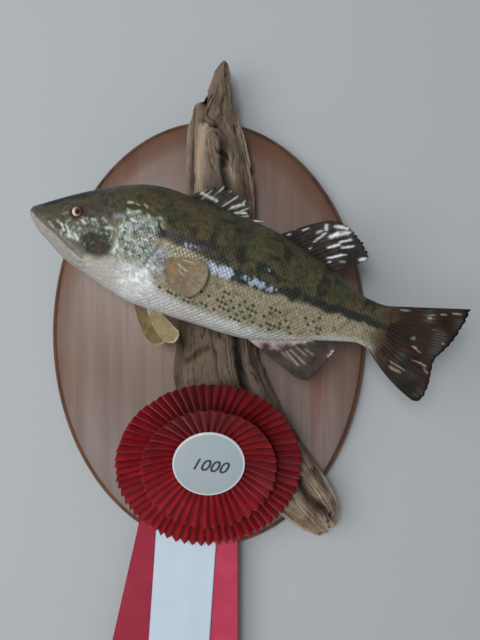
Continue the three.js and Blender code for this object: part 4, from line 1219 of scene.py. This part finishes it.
driftwoodSettings = {
    "stations": [
        (15.4, 251.8, 2.5, 36), (12.8, 243, 6.8, 38.5), (11.6, 232, 9.4, 40.5), (10.6, 219, 13, 43),
        (6.2, 207, 19.2, 45.5), (5.4, 193, 22.5, 47), (9, 166, 26.5, 49.5), (12, 128, 30, 51),
        (11.5, 60, 34, 53), (8, -10, 36, 52), (12, -46, 41, 53), (34, -84, 36, 50),
        (60, -119, 31.5, 40), (87, -150, 26, 37.5), (103.5, -170, 20, 34), (110.5, -181, 10.5, 31)],
    "back": 19.3, "rows": 380, "columns": 260,
    "fishGap": 0.4, "cardGap": (36, -8.6), "ringGap": 5.4, "ringReach": 85,  # room for what lies before it
    "leftLimit": [(120, -40), (190, -19), (200, -15), (209.5, -13), (211.5, -9.5), (213, -3.4),
                  (218, -2.2), (225, -0.8), (234, 3.2), (244, 6.6), (252, 12)],
    "cleft": [(15, 214), (14, 190), (15.5, 165), (15, 150), (19, 135), (22, 100), (26, 50), (26, 10),
              (27, -12), (29, -28), (33, -45), (42, -66), (58, -96)],
    "notch": [(-3.5, 222), (-4, 213), (-5.5, 203), (-6.5, 196)],
    "leftCrack": [(-13, 208), (-14.5, 190), (-15, 165), (-14.5, 131)],
    "knot": (7.4, 189.5),
    "paleStrip": [(-4, 186), (-6.5, 165), (-7.5, 145), (-8, 131)],
    "redCrack": [(-20, -24), (-12, -20), (-5, -14), (1, -12)],
    "endHollow": [(80, -133), (92, -151), (104, -161), (115, -171)],
    "cleftDepth": [(-110, 1), (-90, 3), (-52, 7), (-45, 9), (-12, 8), (20, 3), (60, 2), (120, 3),
                   (138, 8), (165, 8), (185, 3), (215, 1)],
    # painted shadow of the fish darkens the middle, most just below its belly; paler at both ends than in the
    # middle
    "paintedShadowAndPaleEnds": [(-180, 2.0), (-120, 1.9), (-85, 1.0), (-20, 0.62), (20, 0.7), (90, 1.25), (250, 1.35)],
    "grey": paint(112, 104, 94), "tan": paint(132, 112, 92), "brown": paint(72, 58, 48),
    "dark": paint(34, 27, 24), "pale": paint(168, 148, 126), "red": paint(112, 72, 56),
}


def makeDriftwoodMaterial(settings):
    shader = Shader("weatheredWood", Roughness=0.78, Specular_IOR_Level=0.35)
    grain = shader.fieldVector("grain")
    streaks = shader.noise(shader.place((1.0, 0.05, 1), source=grain), 0.55, 5, 0.65, 0.3)
    hair = shader.noise(shader.place((1.0, 0.035, 1), source=grain), 2.6, 4, 0.65)
    broad = shader.noise(shader.place(), 26, 3, 0.5)
    tone = shader.blend(shader.between(streaks, 0.36, 0.62), settings["grey"], settings["tan"])
    tone = shader.blend(shader.between(broad, 0.45, 0.65, 0, 0.75), tone, settings["brown"])
    tone = shader.blend(shader.between(hair, 0.5, 0.7, 0, 0.6), tone, settings["brown"])
    paleShare = shader.math("MULTIPLY", shader.field("pale"), shader.between(streaks, 0.3, 0.6, 0.55, 0.95))
    tone = shader.blend(paleShare, tone, settings["pale"])
    tone = shader.blend(shader.field("redWood"), tone, settings["red"])
    tone = shader.blend(shader.between(hair, 0.34, 0.24, 0, 0.5), tone, settings["dark"])
    # painted shade in the cleft, notch, cracks, chips, hollow and knot hole
    tone = shader.blend(shader.field("cavity"), tone, settings["dark"])
    # painted shadow of the fish in the middle of the limb, and its paler ends
    tone = shader.blend(1.0, tone, shader.fieldVector("paintedShadowAndPaleEnds"), "MULTIPLY")
    shader.set(Base_Color=tone)
    shader.bump(shader.math("ADD", hair, shader.math("MULTIPLY", streaks, 0.6)), 0.6, 0.0009)
    return shader.material


def behindFish(points, settings):
    # y of the wood, kept behind the far side of the fish
    c, s = math.cos(fishPlace["noseUp"]), math.sin(fishPlace["noseUp"])
    snoutX, snoutY, snoutZ = np.array(fishPlace["snout"]) * 1000
    dx, y, dz = points[..., 0] - snoutX, points[..., 1], points[..., 2] - snoutZ
    x, z = dx * c - dz * s, dx * s + dz * c
    inside = (x > 2) & (x < 315) & (z < backLine(x) + 2) & (z > bellyLine(x) - 2)
    farSide = snoutY - bow(x) + sideReach(x, z) + settings["fishGap"]
    return np.where(inside, np.maximum(y, np.minimum(farSide, -settings["back"])), y)


def behindRosette(points, settings):
    # the wood's points, kept behind the card and the pleats of the outer ring
    turned = toRosette(points)
    radius = np.hypot(turned[..., 0], turned[..., 2])
    ring = rosetteSettings["outer"]
    slope = (ring["outerForward"] - ring["innerForward"]) / (ring["outer"] - ring["inner"])
    pleatBack = ring["innerForward"] + slope * (radius - ring["inner"]) - settings["ringGap"]
    cardRadius, cardBack = settings["cardGap"]
    limit = np.where(radius < cardRadius, cardBack, pleatBack)
    tooFar = (-turned[..., 1] > limit) & (radius < settings["ringReach"])
    turned[..., 1] = np.where(tooFar, -limit, turned[..., 1])
    return np.where(tooFar[..., None], fromRosette(turned), points)


def makeDriftwood(settings):
    rows, columns = settings["rows"], settings["columns"]
    stations = smoothLine(settings["stations"], rows)
    alongShare = np.linspace(0, 1, rows)
    run = np.concatenate([[0], np.cumsum(np.linalg.norm(np.diff(stations[:, :2], axis=0), axis=1))])
    direction = np.gradient(stations[:, :2], axis=0)
    direction /= np.linalg.norm(direction, axis=1, keepdims=True)
    frontCount = int(columns * 0.84)
    turn = np.concatenate([
        np.linspace(-0.35, math.pi + 0.35, frontCount, endpoint=False),
        np.linspace(math.pi + 0.35, 2 * math.pi - 0.35, columns - frontCount, endpoint=False)])
    turn, share = np.meshgrid(turn, alongShare)
    sideways, rise = np.cos(turn), np.sin(turn)
    reach = 1 + 0.05 * np.sin(5 * turn + 4 * share) + 0.035 * np.sin(9 * turn - 11 * share)
    width, front = stations[:, 2][:, None], stations[:, 3][:, None]
    across = -np.sign(sideways) * np.abs(sideways) ** 0.75 * width * reach
    back = settings["back"]
    forward = back + (front - back) * (0.5 + 0.5 * rise * reach)
    forward = np.maximum(forward, back)
    x = stations[:, 0][:, None] - direction[:, 1][:, None] * across
    z = stations[:, 1][:, None] + direction[:, 0][:, None] * across
    points = np.stack([x, -forward, z], -1)
    around = np.roll(points, -1, axis=1) - np.roll(points, 1, axis=1)
    lengthwise = np.gradient(points, axis=0)
    normal = np.cross(around, lengthwise)
    normal /= np.maximum(np.linalg.norm(normal, axis=-1, keepdims=True), 1e-9)
    centre = np.stack([stations[:, 0], -(back + stations[:, 3]) / 2, stations[:, 1]], -1)[:, None]
    normal *= np.sign(((points - centre) * normal).sum(-1, keepdims=True))

    # grain runs with the limb, and round the knot
    w = turn * 26.0
    length = run[:, None] + np.zeros_like(w)
    kx, kz = settings["knot"]
    knotAway = np.hypot((x - kx) / 1.3, (z - kz) / 0.8)
    swirl = 7 * mound(knotAway, 10) * np.sign(x - kx + 1e-6)
    w = w + swirl + 2.2 * softNoise(np.stack([w, length * 0.4], -1), 22, 5)
    rough = 0.5 * softNoise(np.stack([w / 2.4, length / 4.5], -1), 1.0, 14)
    cracks = np.abs(softNoise(np.stack([w / 3.0 + 0.25 * rough, length / 40], -1), 1.0, 11))
    fine = np.abs(softNoise(np.stack([w / 1.3 + 0.4 * rough, length / 17], -1), 1.0, 12))
    ridges = softNoise(np.stack([w / 9, length / 55], -1), 1.0, 13)
    chips = softNoise(np.stack([w / 5.5, length / 14], -1), 1.0, 15)
    frontSide = ease(-0.25, 0.15, rise)
    depth = 1.8 * (1 - ease(0, 0.13, cracks)) + 0.7 * (1 - ease(0, 0.25, fine)) - 1.7 * ridges
    depth += 0.35 * rough + 1.0 * ease(0.25, 0.4, chips)
    cleftDepth = readOff(settings["cleftDepth"], z)
    cleft = mound(awayFrom(settings["cleft"], x, z), 3.4)
    notch = mound(awayFrom(settings["notch"], x, z), 2.3)
    leftCrack = mound(awayFrom(settings["leftCrack"], x, z), 1.5)
    redCrack = mound(awayFrom(settings["redCrack"], x, z), 2.2)
    hollow = mound(awayFrom(settings["endHollow"], x, z), 3.2)
    hole = mound(knotAway, 2.4)
    depth += cleftDepth * cleft + 9 * notch + 4.5 * leftCrack + 4 * redCrack + 6 * hollow + 5 * hole
    depth -= 1.1 * mound(knotAway - 5.5, 2.6) + 0.3 * np.sin(knotAway * 2.6) * mound(knotAway, 9)
    smoothStrip = mound(awayFrom(settings["paleStrip"], x, z), 5.0)
    depth = depth * (1 - 0.75 * smoothStrip) * frontSide - 1.2 * smoothStrip
    ends = ease(0, 0.03, share) * ease(1, 0.975, share)
    points = points - normal * (depth * (0.25 + 0.75 * ends))[..., None]
    jag = 3.5 * softNoise(np.stack([w / 5, length * 0], -1), 1.0, 17) * ease(0.955, 1, share)
    points[..., 0] += jag * direction[-1, 0]
    points[..., 2] += jag * direction[-1, 1]
    points[..., 1] = np.minimum(points[..., 1], -back)
    shift = 0.5 * softNoise(np.stack([points[..., 2] / 3, points[..., 1] / 9], -1), 1.0, 19)
    leftEdge = readOff(settings["leftLimit"], points[..., 2]) + shift
    points[..., 0] = np.where(points[..., 2] > 140, np.maximum(points[..., 0], leftEdge), points[..., 0])
    points[..., 1] = behindFish(points, settings)
    points = behindRosette(points, settings)
    points[..., 1] = np.minimum(points[..., 1], -back)

    faces = gridFaces(rows, columns, wrap=True).tolist()
    flat = points.reshape(-1, 3)
    tips = np.array([points[0].mean(0) + [0, 0, 0.8], points[-1].mean(0)])
    faces += [[len(flat), (k + 1) % columns, k] for k in range(columns)]
    last = (rows - 1) * columns
    faces += [[len(flat) + 1, last + k, last + (k + 1) % columns] for k in range(columns)]
    # cavity: painted shade in the cleft, notch, cracks, chips, hollow and knot hole
    cavity = 0.85 * cleft * ease(2, 6, cleftDepth) + 0.95 * notch + 0.8 * leftCrack + 0.8 * hollow + hole
    cavity = cavity + 0.75 * (1 - ease(0, 0.09, cracks)) * frontSide + 0.3 * (1 - ease(0, 0.16, fine))
    cavity = np.clip(cavity + 0.2 * ease(0.25, 0.4, chips), 0, 1) * (1 - 0.7 * smoothStrip)
    pale = np.maximum(smoothStrip, 0.5 * ease(0.1, 0.6, ridges))

    def withTips(values):
        return np.append(values.ravel(), [values[0].mean(), values[-1].mean()])

    allPoints = np.vstack([flat, tips])
    # the painted shadow below the fish and the paler ends are read off by height
    fields = {
        "grain": np.stack([withTips(w), withTips(length), withTips(ridges)], -1),
        "cavity": withTips(cavity), "pale": withTips(pale), "redWood": withTips(redCrack * 0.9),
        "paintedShadowAndPaleEnds": readOff(settings["paintedShadowAndPaleEnds"], allPoints[:, 2])[:, None] * np.array([1.0, 1.0, 1.02])}
    material = makeDriftwoodMaterial(settings)
    piece = makeMesh("driftwood_limb", allPoints * 0.001, faces, material, fields=fields)
    fixNormals(piece)
    place(piece, "driftwood", "driftwood")
    print("driftwood:", len(faces), "faces")


makeDriftwood(driftwoodSettings)


# plaque and its hanger

plaqueSettings = {
    "halfWidth": 150, "halfHeight": 203, "columns": 256,
    "profile": [
        (1.2, 0), (0.4, -0.35), (0, -1.2), (0, -5), (0, -9), (0.3, -10.4), (1.2, -11.7), (2.6, -12.4),
        (4.0, -12.8), (4.5, -13.3), (4.7, -14.4), (5.2, -16), (5.9, -17.5), (6.8, -18.6), (8.2, -19)],
    "recess": (27, 8.5, 150, -3),
    "face": paint(118, 92, 80), "faceDark": paint(94, 70, 58), "faceRed": paint(126, 82, 66),
    "faceLight": paint(134, 110, 96), "edge": paint(118, 76, 44), "edgeDark": paint(42, 26, 20),
    "top": (0.72, 0.49, 0.37, 1), "bottom": (1.6, 2.2, 2.9, 1), "plain": (1, 1, 1, 1),
}


def makePlaqueMaterial(settings):
    shader = Shader("plaqueWood", Roughness=0.42, Coat_Weight=0.25, Coat_Roughness=0.25)
    drift = shader.noise(shader.place((1, 1, 0.35)), 7, 3, 0.5, 0.3)
    stripes = shader.noise(shader.place((1, 0.6, 0.045)), 62, 5, 0.6, 0.25)
    pores = shader.noise(shader.place((1, 0.6, 0.02)), 520, 3, 0.6)
    tone = shader.blend(shader.between(stripes, 0.36, 0.62), settings["face"], settings["faceLight"])
    tone = shader.blend(shader.between(stripes, 0.52, 0.68, 0, 0.85), tone, settings["faceRed"])
    tone = shader.blend(shader.between(drift, 0.45, 0.7, 0, 0.6), tone, settings["faceDark"])
    tone = shader.blend(shader.between(pores, 0.55, 0.75, 0, 0.4), tone, settings["faceDark"])
    # painted light and shade: redder and deeper at the top, greyer and lighter at the bottom
    lowDown = shader.between(shader.field("height"), 0.45, 0.1)
    highUp = shader.between(shader.field("height"), 0.55, 0.95)
    paintedLightAndShade = shader.blend(highUp, shader.blend(lowDown, settings["plain"], settings["bottom"]), settings["top"])
    tone = shader.blend(1.0, tone, paintedLightAndShade, "MULTIPLY")
    band = shader.blend(shader.between(stripes, 0.4, 0.65, 0, 0.7), settings["edge"], settings["edgeDark"])
    tone = shader.blend(shader.field("band"), tone, band)
    # painted shade on the outer side and in the small step of the moulding
    tone = shader.blend(shader.field("outline"), tone, settings["edgeDark"])
    shader.set(Base_Color=tone)
    height = shader.math("ADD", shader.math("MULTIPLY", stripes, 0.5), pores)
    shader.bump(height, 0.18, 0.0006)
    return shader.material


def makePlaque(settings):
    count = settings["columns"]
    turn = np.linspace(0, 2 * math.pi, count, endpoint=False)
    rings = []
    band, outline = [], []
    halfWidth, halfHeight, middle, floor = settings["recess"]
    # the back's hole: the point of its outline that lies in each direction
    ellipse = np.stack([settings["halfWidth"] * np.cos(turn), settings["halfHeight"] * np.sin(turn)], -1)
    way = ellipse - np.array([0, middle])
    wayX, wayZ = np.maximum(np.abs(way), 1e-9).T
    hole = way * np.minimum(halfWidth / wayX, halfHeight / wayZ)[:, None]
    for corner in ((1, 1), (-1, 1), (-1, -1), (1, -1)):
        spot = np.array([corner[0] * halfWidth, corner[1] * halfHeight])
        hole[np.argmin(np.linalg.norm(hole - spot, axis=1))] = spot
    for share, y in ((0.04, floor), (1.0, floor), (1.0, 0)):
        rings.append(np.stack([hole[:, 0] * share, np.full(count, y), hole[:, 1] * share + middle], -1))
        band.append(0)
        outline.append(0)
    for inset, y in settings["profile"]:
        x = (settings["halfWidth"] - inset) * np.cos(turn)
        z = (settings["halfHeight"] - inset) * np.sin(turn)
        rings.append(np.stack([x, np.full(count, y), z], -1))
        band.append(1.0 if y > -18.2 else 0.25)
        # outline: painted shade on the outer side and in the moulding's small step
        outline.append(0.9 if y > -10.5 else (0.7 if -13.6 < y < -12.6 else 0.0))
    for share in (0.9, 0.7, 0.45, 0.2, 0.02):
        last = rings[2 + len(settings["profile"])]
        rings.append(last * [share, 1, share])
        band.append(0)
        outline.append(0)
    points = np.array(rings)
    rows = len(points)
    faces = gridFaces(rows, count, wrap=True).tolist()
    faces.append(list(range(count))[::-1])
    faces.append([(rows - 1) * count + k for k in range(count)])
    heights = 0.5 + points[..., 2].ravel() / (2 * settings["halfHeight"])
    fields = {"band": np.repeat(band, count), "outline": np.repeat(outline, count), "height": heights}
    material = makePlaqueMaterial(settings)
    piece = makeMesh("oval_plaque", points.reshape(-1, 3) * 0.001, faces, material, fields=fields)
    fixNormals(piece)
    place(piece, "board", "plaque")
    steel = Shader("hangerSteel", Base_Color=paint(176, 176, 172), Metallic=1.0, Roughness=0.35)
    brushed = steel.noise(steel.place((0.05, 1, 1)), 900, 3)
    steel.set(Roughness=steel.between(brushed, 0.3, 0.7, 0.28, 0.48))
    steel.bump(brushed, 0.1, 0.0002)
    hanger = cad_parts["plaque_hanger"]
    hanger.data.materials.clear()
    hanger.data.materials.append(steel.material)
    print("plaque and hanger done")


makePlaque(plaqueSettings)


# rosette: two pleated rings of ribbon, a button and a card back

threadPitch = 0.28  # of the ribbon's weft, in millimetres


def makeRibbonMaterial(name, settings, colour, ribPitch):
    base, deep, light = settings[colour], settings[colour + "Deep"], settings[colour + "Light"]
    shader = Shader(name, Roughness=0.5, Sheen_Weight=0.12, Sheen_Roughness=0.4, Specular_IOR_Level=0.3)
    split = shader.node("ShaderNodeSeparateXYZ")
    shader.put(split.inputs[0], shader.fieldVector("weave"))
    along, across = split.outputs["X"], split.outputs["Y"]
    ribs = shader.math("SINE", shader.math("MULTIPLY", along, 2 * math.pi / ribPitch))
    threads = shader.math("SINE", shader.math("MULTIPLY", across, 2 * math.pi / threadPitch))
    cloud = shader.noise(shader.place(), 55, 3, 0.55)
    tone = shader.blend(shader.between(cloud, 0.4, 0.65), base, light)
    tone = shader.blend(shader.between(ribs, 0.2, -0.9, 0, 0.3), tone, deep)
    # crease: painted shade in the folds of the pleats, and the darker selvedge of the tails
    tone = shader.blend(shader.field("crease"), tone, deep)
    # tint multiplies in painted shade and painted light: the rosette darker to the right and top, one tail
    # darker, one lighter
    tone = shader.blend(1.0, tone, shader.fieldVector("tint"), "MULTIPLY")
    shader.set(Base_Color=tone)
    height = shader.math("ADD", ribs, shader.math("MULTIPLY", threads, 0.3))
    shader.bump(height, 0.22, 0.00025)
    return shader.material


redRibbon = makeRibbonMaterial("redRibbon", rosetteSettings, "red", 0.8)


def sheetArea(points, wrap):
    # area of a grid of points in square millimetres
    if wrap:
        points = np.concatenate([points, points[:1]], 0)
    a = points[1:, :-1] - points[:-1, :-1]
    b = points[:-1, 1:] - points[:-1, :-1]
    return np.linalg.norm(np.cross(a, b), axis=-1).sum()


def makePleatedRing(name, node, ring, settings):
    pleats, each = ring["pleats"], settings["columnsPerPleat"]
    count = pleats * each
    draw = np.random.default_rng(len(name))
    jitter = draw.normal(0, 1, (pleats + 1, 3))
    jitter[-1] = jitter[0]
    u = np.arange(count) / each
    low = np.floor(u).astype(int)
    part = (u - low)[:, None]
    sway = jitter[low] * (1 - part) + jitter[(low + 1) % pleats] * part
    v = np.linspace(0, 1, settings["rows"])[None, :]
    # each pleat is a rounded fold that leans over to one side
    fromCrest = np.abs(2 * ((u + 0.5) % 1) - 1)[:, None]
    fold = 1 - 2 * fromCrest ** 2.2
    depth = ring["innerDepth"] + (ring["depth"] - ring["innerDepth"]) * v
    radius = ring["inner"] + (ring["outer"] - ring["inner"]) * v
    radius = radius - (0.5 - 0.5 * fold) * 1.0 * v ** 3 + 0.3 * sway[:, 1:2] * v ** 3
    dish = 0.35 * v ** 2 + 0.65 * v
    forward = ring["innerForward"] + (ring["outerForward"] - ring["innerForward"]) * dish
    forward = forward + depth * (0.5 * fold + 0.05 * sway[:, 0:1] * v)
    lean = -0.12 * np.sin(2 * math.pi * u)[:, None]
    angle = (u[:, None] + lean + 0.10 * sway[:, 2:3] * v) * 2 * math.pi / pleats
    middle = np.stack([radius * np.cos(angle), -forward, radius * np.sin(angle)], -1)
    across = np.roll(middle, -1, axis=0) - np.roll(middle, 1, axis=0)
    outward = np.gradient(middle, axis=1)
    normal = np.cross(outward, across)
    normal /= np.linalg.norm(normal, axis=-1, keepdims=True)
    half = settings["thickness"] / 2
    ringPoints = np.concatenate([middle + normal * half, (middle - normal * half)[:, ::-1]], 1)
    width = ringPoints.shape[1]
    row = np.arange(count)[:, None] * width
    following = np.roll(np.arange(count), -1)[:, None] * width
    k = np.arange(width)[None, :]
    n = (k + 1) % width
    faces = np.stack([row + k, row + n, following + n, following + k], -1).reshape(-1, 4).tolist()
    steps = np.linalg.norm(np.roll(middle[:, -1], -1, axis=0) - middle[:, -1], axis=-1)
    developed = np.concatenate([[0], np.cumsum(steps)[:-1]])
    weave = np.stack([
        np.repeat(developed[:, None], settings["rows"], 1),
        np.repeat(v * (ring["outer"] - ring["inner"]), count, 0),
        np.zeros((count, settings["rows"]))], -1)
    # painted shade in the folds between the pleats
    crease = ease(0.1, -1.0, fold) * 0.8 * np.ones_like(v)
    # painted shade: the satin is darker to the right and at the top
    x, z = ringPoints[..., 0], ringPoints[..., 2]
    turned = (0.85 * x + 0.53 * z) / np.hypot(x, z)
    dim = (1.02 - 0.42 * ease(-0.25, 0.75, turned)).reshape(-1, 1) * np.ones(3)
    fields = {
        "weave": frontAndBack(weave).reshape(-1, 3), "crease": frontAndBack(crease).ravel(), "tint": dim}
    piece = makeMesh(name, fromRosette(ringPoints).reshape(-1, 3) * 0.001, faces, redRibbon, fields=fields)
    fixNormals(piece)
    place(piece, "red_ribbon", node)
    cut = (ring["outer"] - ring["inner"] + settings["stapled"], steps.sum() + settings["lap"])
    share = sheetArea(middle, True) / (cut[0] * cut[1])
    print(name, "flat", round(cut[0], 1), "x", round(cut[1]), "share", round(share, 2))


def makeTurned(name, profile, sides, material, slotName, node, fields=None):
    # a closed piece turned about the rosette's axis from (radius, forward) pairs
    profile = np.array(profile, float)
    turn = np.linspace(0, 2 * math.pi, sides, endpoint=False)
    radius, forward = profile[:, 0][:, None], profile[:, 1][:, None]
    grid = np.stack([radius * np.cos(turn), -forward + 0 * turn, radius * np.sin(turn)], -1)
    faces = gridFaces(len(profile), sides, wrap=True).tolist()
    faces.append(list(range(sides))[::-1])
    faces.append([(len(profile) - 1) * sides + k for k in range(sides)])
    values = {key: np.repeat(value, sides) for key, value in (fields or {}).items()}
    piece = makeMesh(name, fromRosette(grid).reshape(-1, 3) * 0.001, faces, material, fields=values)
    fixNormals(piece)
    place(piece, slotName, node)


buttonSettings = {
    "profile": [
        (0.4, 2.2), (20, 2.2), (28.2, 2.25), (30.6, 2.7), (32.0, 3.3), (32.5, 4.0), (32.35, 4.8),
        (32.1, 5.3), (31.7, 5.6), (31.3, 5.65), (30.9, 5.55), (30.5, 5.5), (28.0, 5.8), (22, 6.15),
        (12, 6.35), (0.4, 6.4)],
    "number": "1000", "size": 16.6, "turn": math.radians(-18.6), "slant": 0.28,
    "face": paint(176, 190, 196), "rim": paint(226, 232, 236), "ink": paint(58, 60, 64),
    "faceCloud": paint(160, 176, 184), "inkWorn": paint(90, 92, 98),
}


def makeButton(settings):
    shader = Shader("buttonPlastic", Roughness=0.22, Coat_Weight=0.4, Coat_Roughness=0.06)
    cloud = shader.noise(shader.place(), 60, 3)
    face = shader.blend(shader.between(cloud, 0.35, 0.7, 0, 0.25), settings["face"], settings["faceCloud"])
    # painted light: the rolled rim is coloured whiter than the face
    tone = shader.blend(shader.field("rim"), face, settings["rim"])
    shader.set(Base_Color=tone)
    shader.bump(shader.noise(shader.place(), 500, 2), 0.05, 0.0002)
    rim = [0.0 if radius < 30.7 else 1.0 for radius, forward in settings["profile"]]
    makeTurned("rosette_disc", settings["profile"], 160, shader.material, "button", "rosette_button",
               {"rim": rim})

    words = bpy.data.curves.new("number", "FONT")
    words.body = settings["number"]
    words.size = settings["size"]
    words.shear = settings["slant"]
    words.extrude = 0.09
    words.offset = 0.22
    words.align_x = "CENTER"
    words.align_y = "CENTER"
    carrier = bpy.data.objects.new("numberCurve", words)
    bpy.context.scene.collection.objects.link(carrier)
    mesh = bpy.data.meshes.new_from_object(carrier.evaluated_get(bpy.context.evaluated_depsgraph_get()))
    bpy.data.objects.remove(carrier)
    flat = np.empty(len(mesh.vertices) * 3)
    mesh.vertices.foreach_get("co", flat)
    flat = flat.reshape(-1, 3)
    c, s = math.cos(settings["turn"]), math.sin(settings["turn"])
    px, pz = flat[:, 0] * c - flat[:, 1] * s, flat[:, 0] * s + flat[:, 1] * c
    dome = 6.4 - 0.55 * (np.hypot(px, pz) / 28) ** 2
    inRosette = np.stack([px, -(dome + flat[:, 2] + 0.03), pz - 1.0], -1)
    ink = Shader("numberInk", Roughness=0.4)
    worn = ink.between(ink.noise(ink.place(), 700, 2), 0.4, 0.7, 0, 0.4)
    ink.set(Base_Color=ink.blend(worn, settings["ink"], settings["inkWorn"]))
    mesh.vertices.foreach_set("co", (fromRosette(inRosette) * 0.001).ravel())
    mesh.materials.clear()
    mesh.materials.append(ink.material)
    mesh.update()
    number = bpy.data.objects.new("rosette_number", mesh)
    bpy.context.scene.collection.objects.link(number)
    place(number, "button")


cardSettings = {
    "profile": [
        (0.4, -8), (20, -8), (33.7, -8), (34, -7.7), (34, -6.8), (33.7, -6.5), (20, -6.5), (0.4, -6.5)],
    "card": paint(204, 198, 184), "fibre": paint(176, 168, 152),
}


def makeCard(settings):
    shader = Shader("greyCard", Roughness=0.85)
    fibres = shader.noise(shader.place(), 300, 4, 0.7)
    tone = shader.blend(shader.between(fibres, 0.35, 0.7), settings["card"], settings["fibre"])
    shader.set(Base_Color=tone)
    shader.bump(fibres, 0.2, 0.0003)
    makeTurned("rosette_card", settings["profile"], 120, shader.material, "card", "rosette_backing")


makeCard(cardSettings)
makePleatedRing("rosette_ribbon_outer", "rosette_outer_ring", rosetteSettings["outer"], rosetteSettings)
makePleatedRing("rosette_ribbon_inner", "rosette_inner_ring", rosetteSettings["middle"], rosetteSettings)
makeButton(buttonSettings)
print("rosette done")


# three ribbon tails hanging from the rosette's card

tailSettings = {
    "width": 57, "top": -150, "length": 268, "notch": 16, "thickness": 0.34, "rows": 220, "columns": 44,
    "lift": 9, "liftLength": 22, "clearance": 21, "layerPitch": 1.3,
    # name, top, lean, layer, slot and shade of each; the shade is painted shade on the left red tail, painted
    # light on the right one, a cooler tint on the white
    "tails": [
        ("streamer_left", -31, 12.8, 0, "red_ribbon", (0.86, 0.75, 0.92)),
        ("streamer_right", -1, 0, 1, "red_ribbon", (1.3, 1.5, 1.75)),
        ("streamer_centre", -18.5, 3.9, 2, "white_ribbon", (1.0, 1.08, 1.14))],
    "red": paint(177, 52, 71), "redDeep": paint(134, 28, 46), "redLight": paint(183, 58, 77),
    "white": paint(211, 220, 230), "whiteDeep": paint(176, 190, 208), "whiteLight": paint(216, 223, 232),
}


def makeTails(settings):
    colours = {
        "red_ribbon": makeRibbonMaterial("redTail", settings, "red", 0.9),
        "white_ribbon": makeRibbonMaterial("whiteTail", settings, "white", 0.9)}
    for name, topX, lean, layer, slotName, shade in settings["tails"]:
        slant = math.tan(math.radians(lean))
        t = np.linspace(0, 1, settings["rows"])[:, None]
        side = np.linspace(-1, 1, settings["columns"])[None, :]
        drop = settings["length"] * t
        # the notch cut out of the end is taken up over the last stretch of rows
        cut = settings["notch"] * (1 - np.abs(side)) * ease(0.80, 1.0, t)
        drop = drop - cut
        x = topX - drop * slant + side * settings["width"] / 2
        z = settings["top"] - drop
        wave = 0.55 * np.sin((x + 0.4 * z) / 17) + 0.8 * softNoise(np.stack([x * 0.7, z * 0.35], -1), 16, 21)
        wave = np.maximum(wave, -0.9) * ease(6, 60, drop)
        curl = 1.6 * ease(200, 268, drop) * np.sin((z + 0.6 * x) / 21)
        forward = settings["clearance"] + layer * settings["layerPitch"]
        forward = forward + settings["lift"] * np.exp(-drop / settings["liftLength"])
        middle = np.stack([x, -(forward + wave + curl), z], -1)
        normal = np.cross(np.gradient(middle, axis=0), np.gradient(middle, axis=1))
        normal /= np.linalg.norm(normal, axis=-1, keepdims=True)
        half = settings["thickness"] / 2
        points = np.concatenate([middle + normal * half, (middle - normal * half)[:, ::-1]], 1)
        rows, width = points.shape[:2]
        faces = gridFaces(rows, width, wrap=True).tolist()
        columns = settings["columns"]
        for k in range(columns - 1):
            faces.append([k + 1, k, width - 1 - k, width - 2 - k])
            base = (rows - 1) * width
            faces.append([base + k, base + k + 1, base + width - 2 - k, base + width - 1 - k])
        fromEdge = (side + 1) * settings["width"] / 2 + 0 * drop
        weave = np.stack([drop, fromEdge, 0 * drop], -1)
        selvedge = 0.5 * ease(0.955, 0.975, np.abs(side)) + 0 * drop
        # tint carries each tail's shade from the list above: painted shade, painted light and a cooler tint
        fields = {"weave": frontAndBack(weave).reshape(-1, 3), "crease": frontAndBack(selvedge).ravel(),
                  "tint": np.tile(shade, (rows * width, 1))}
        points = points.reshape(-1, 3) * 0.001
        piece = makeMesh(name + "_ribbon", points, faces, colours[slotName], fields=fields)
        fixNormals(piece)
        place(piece, slotName, name)
        width = settings["width"]


makeTails(tailSettings)
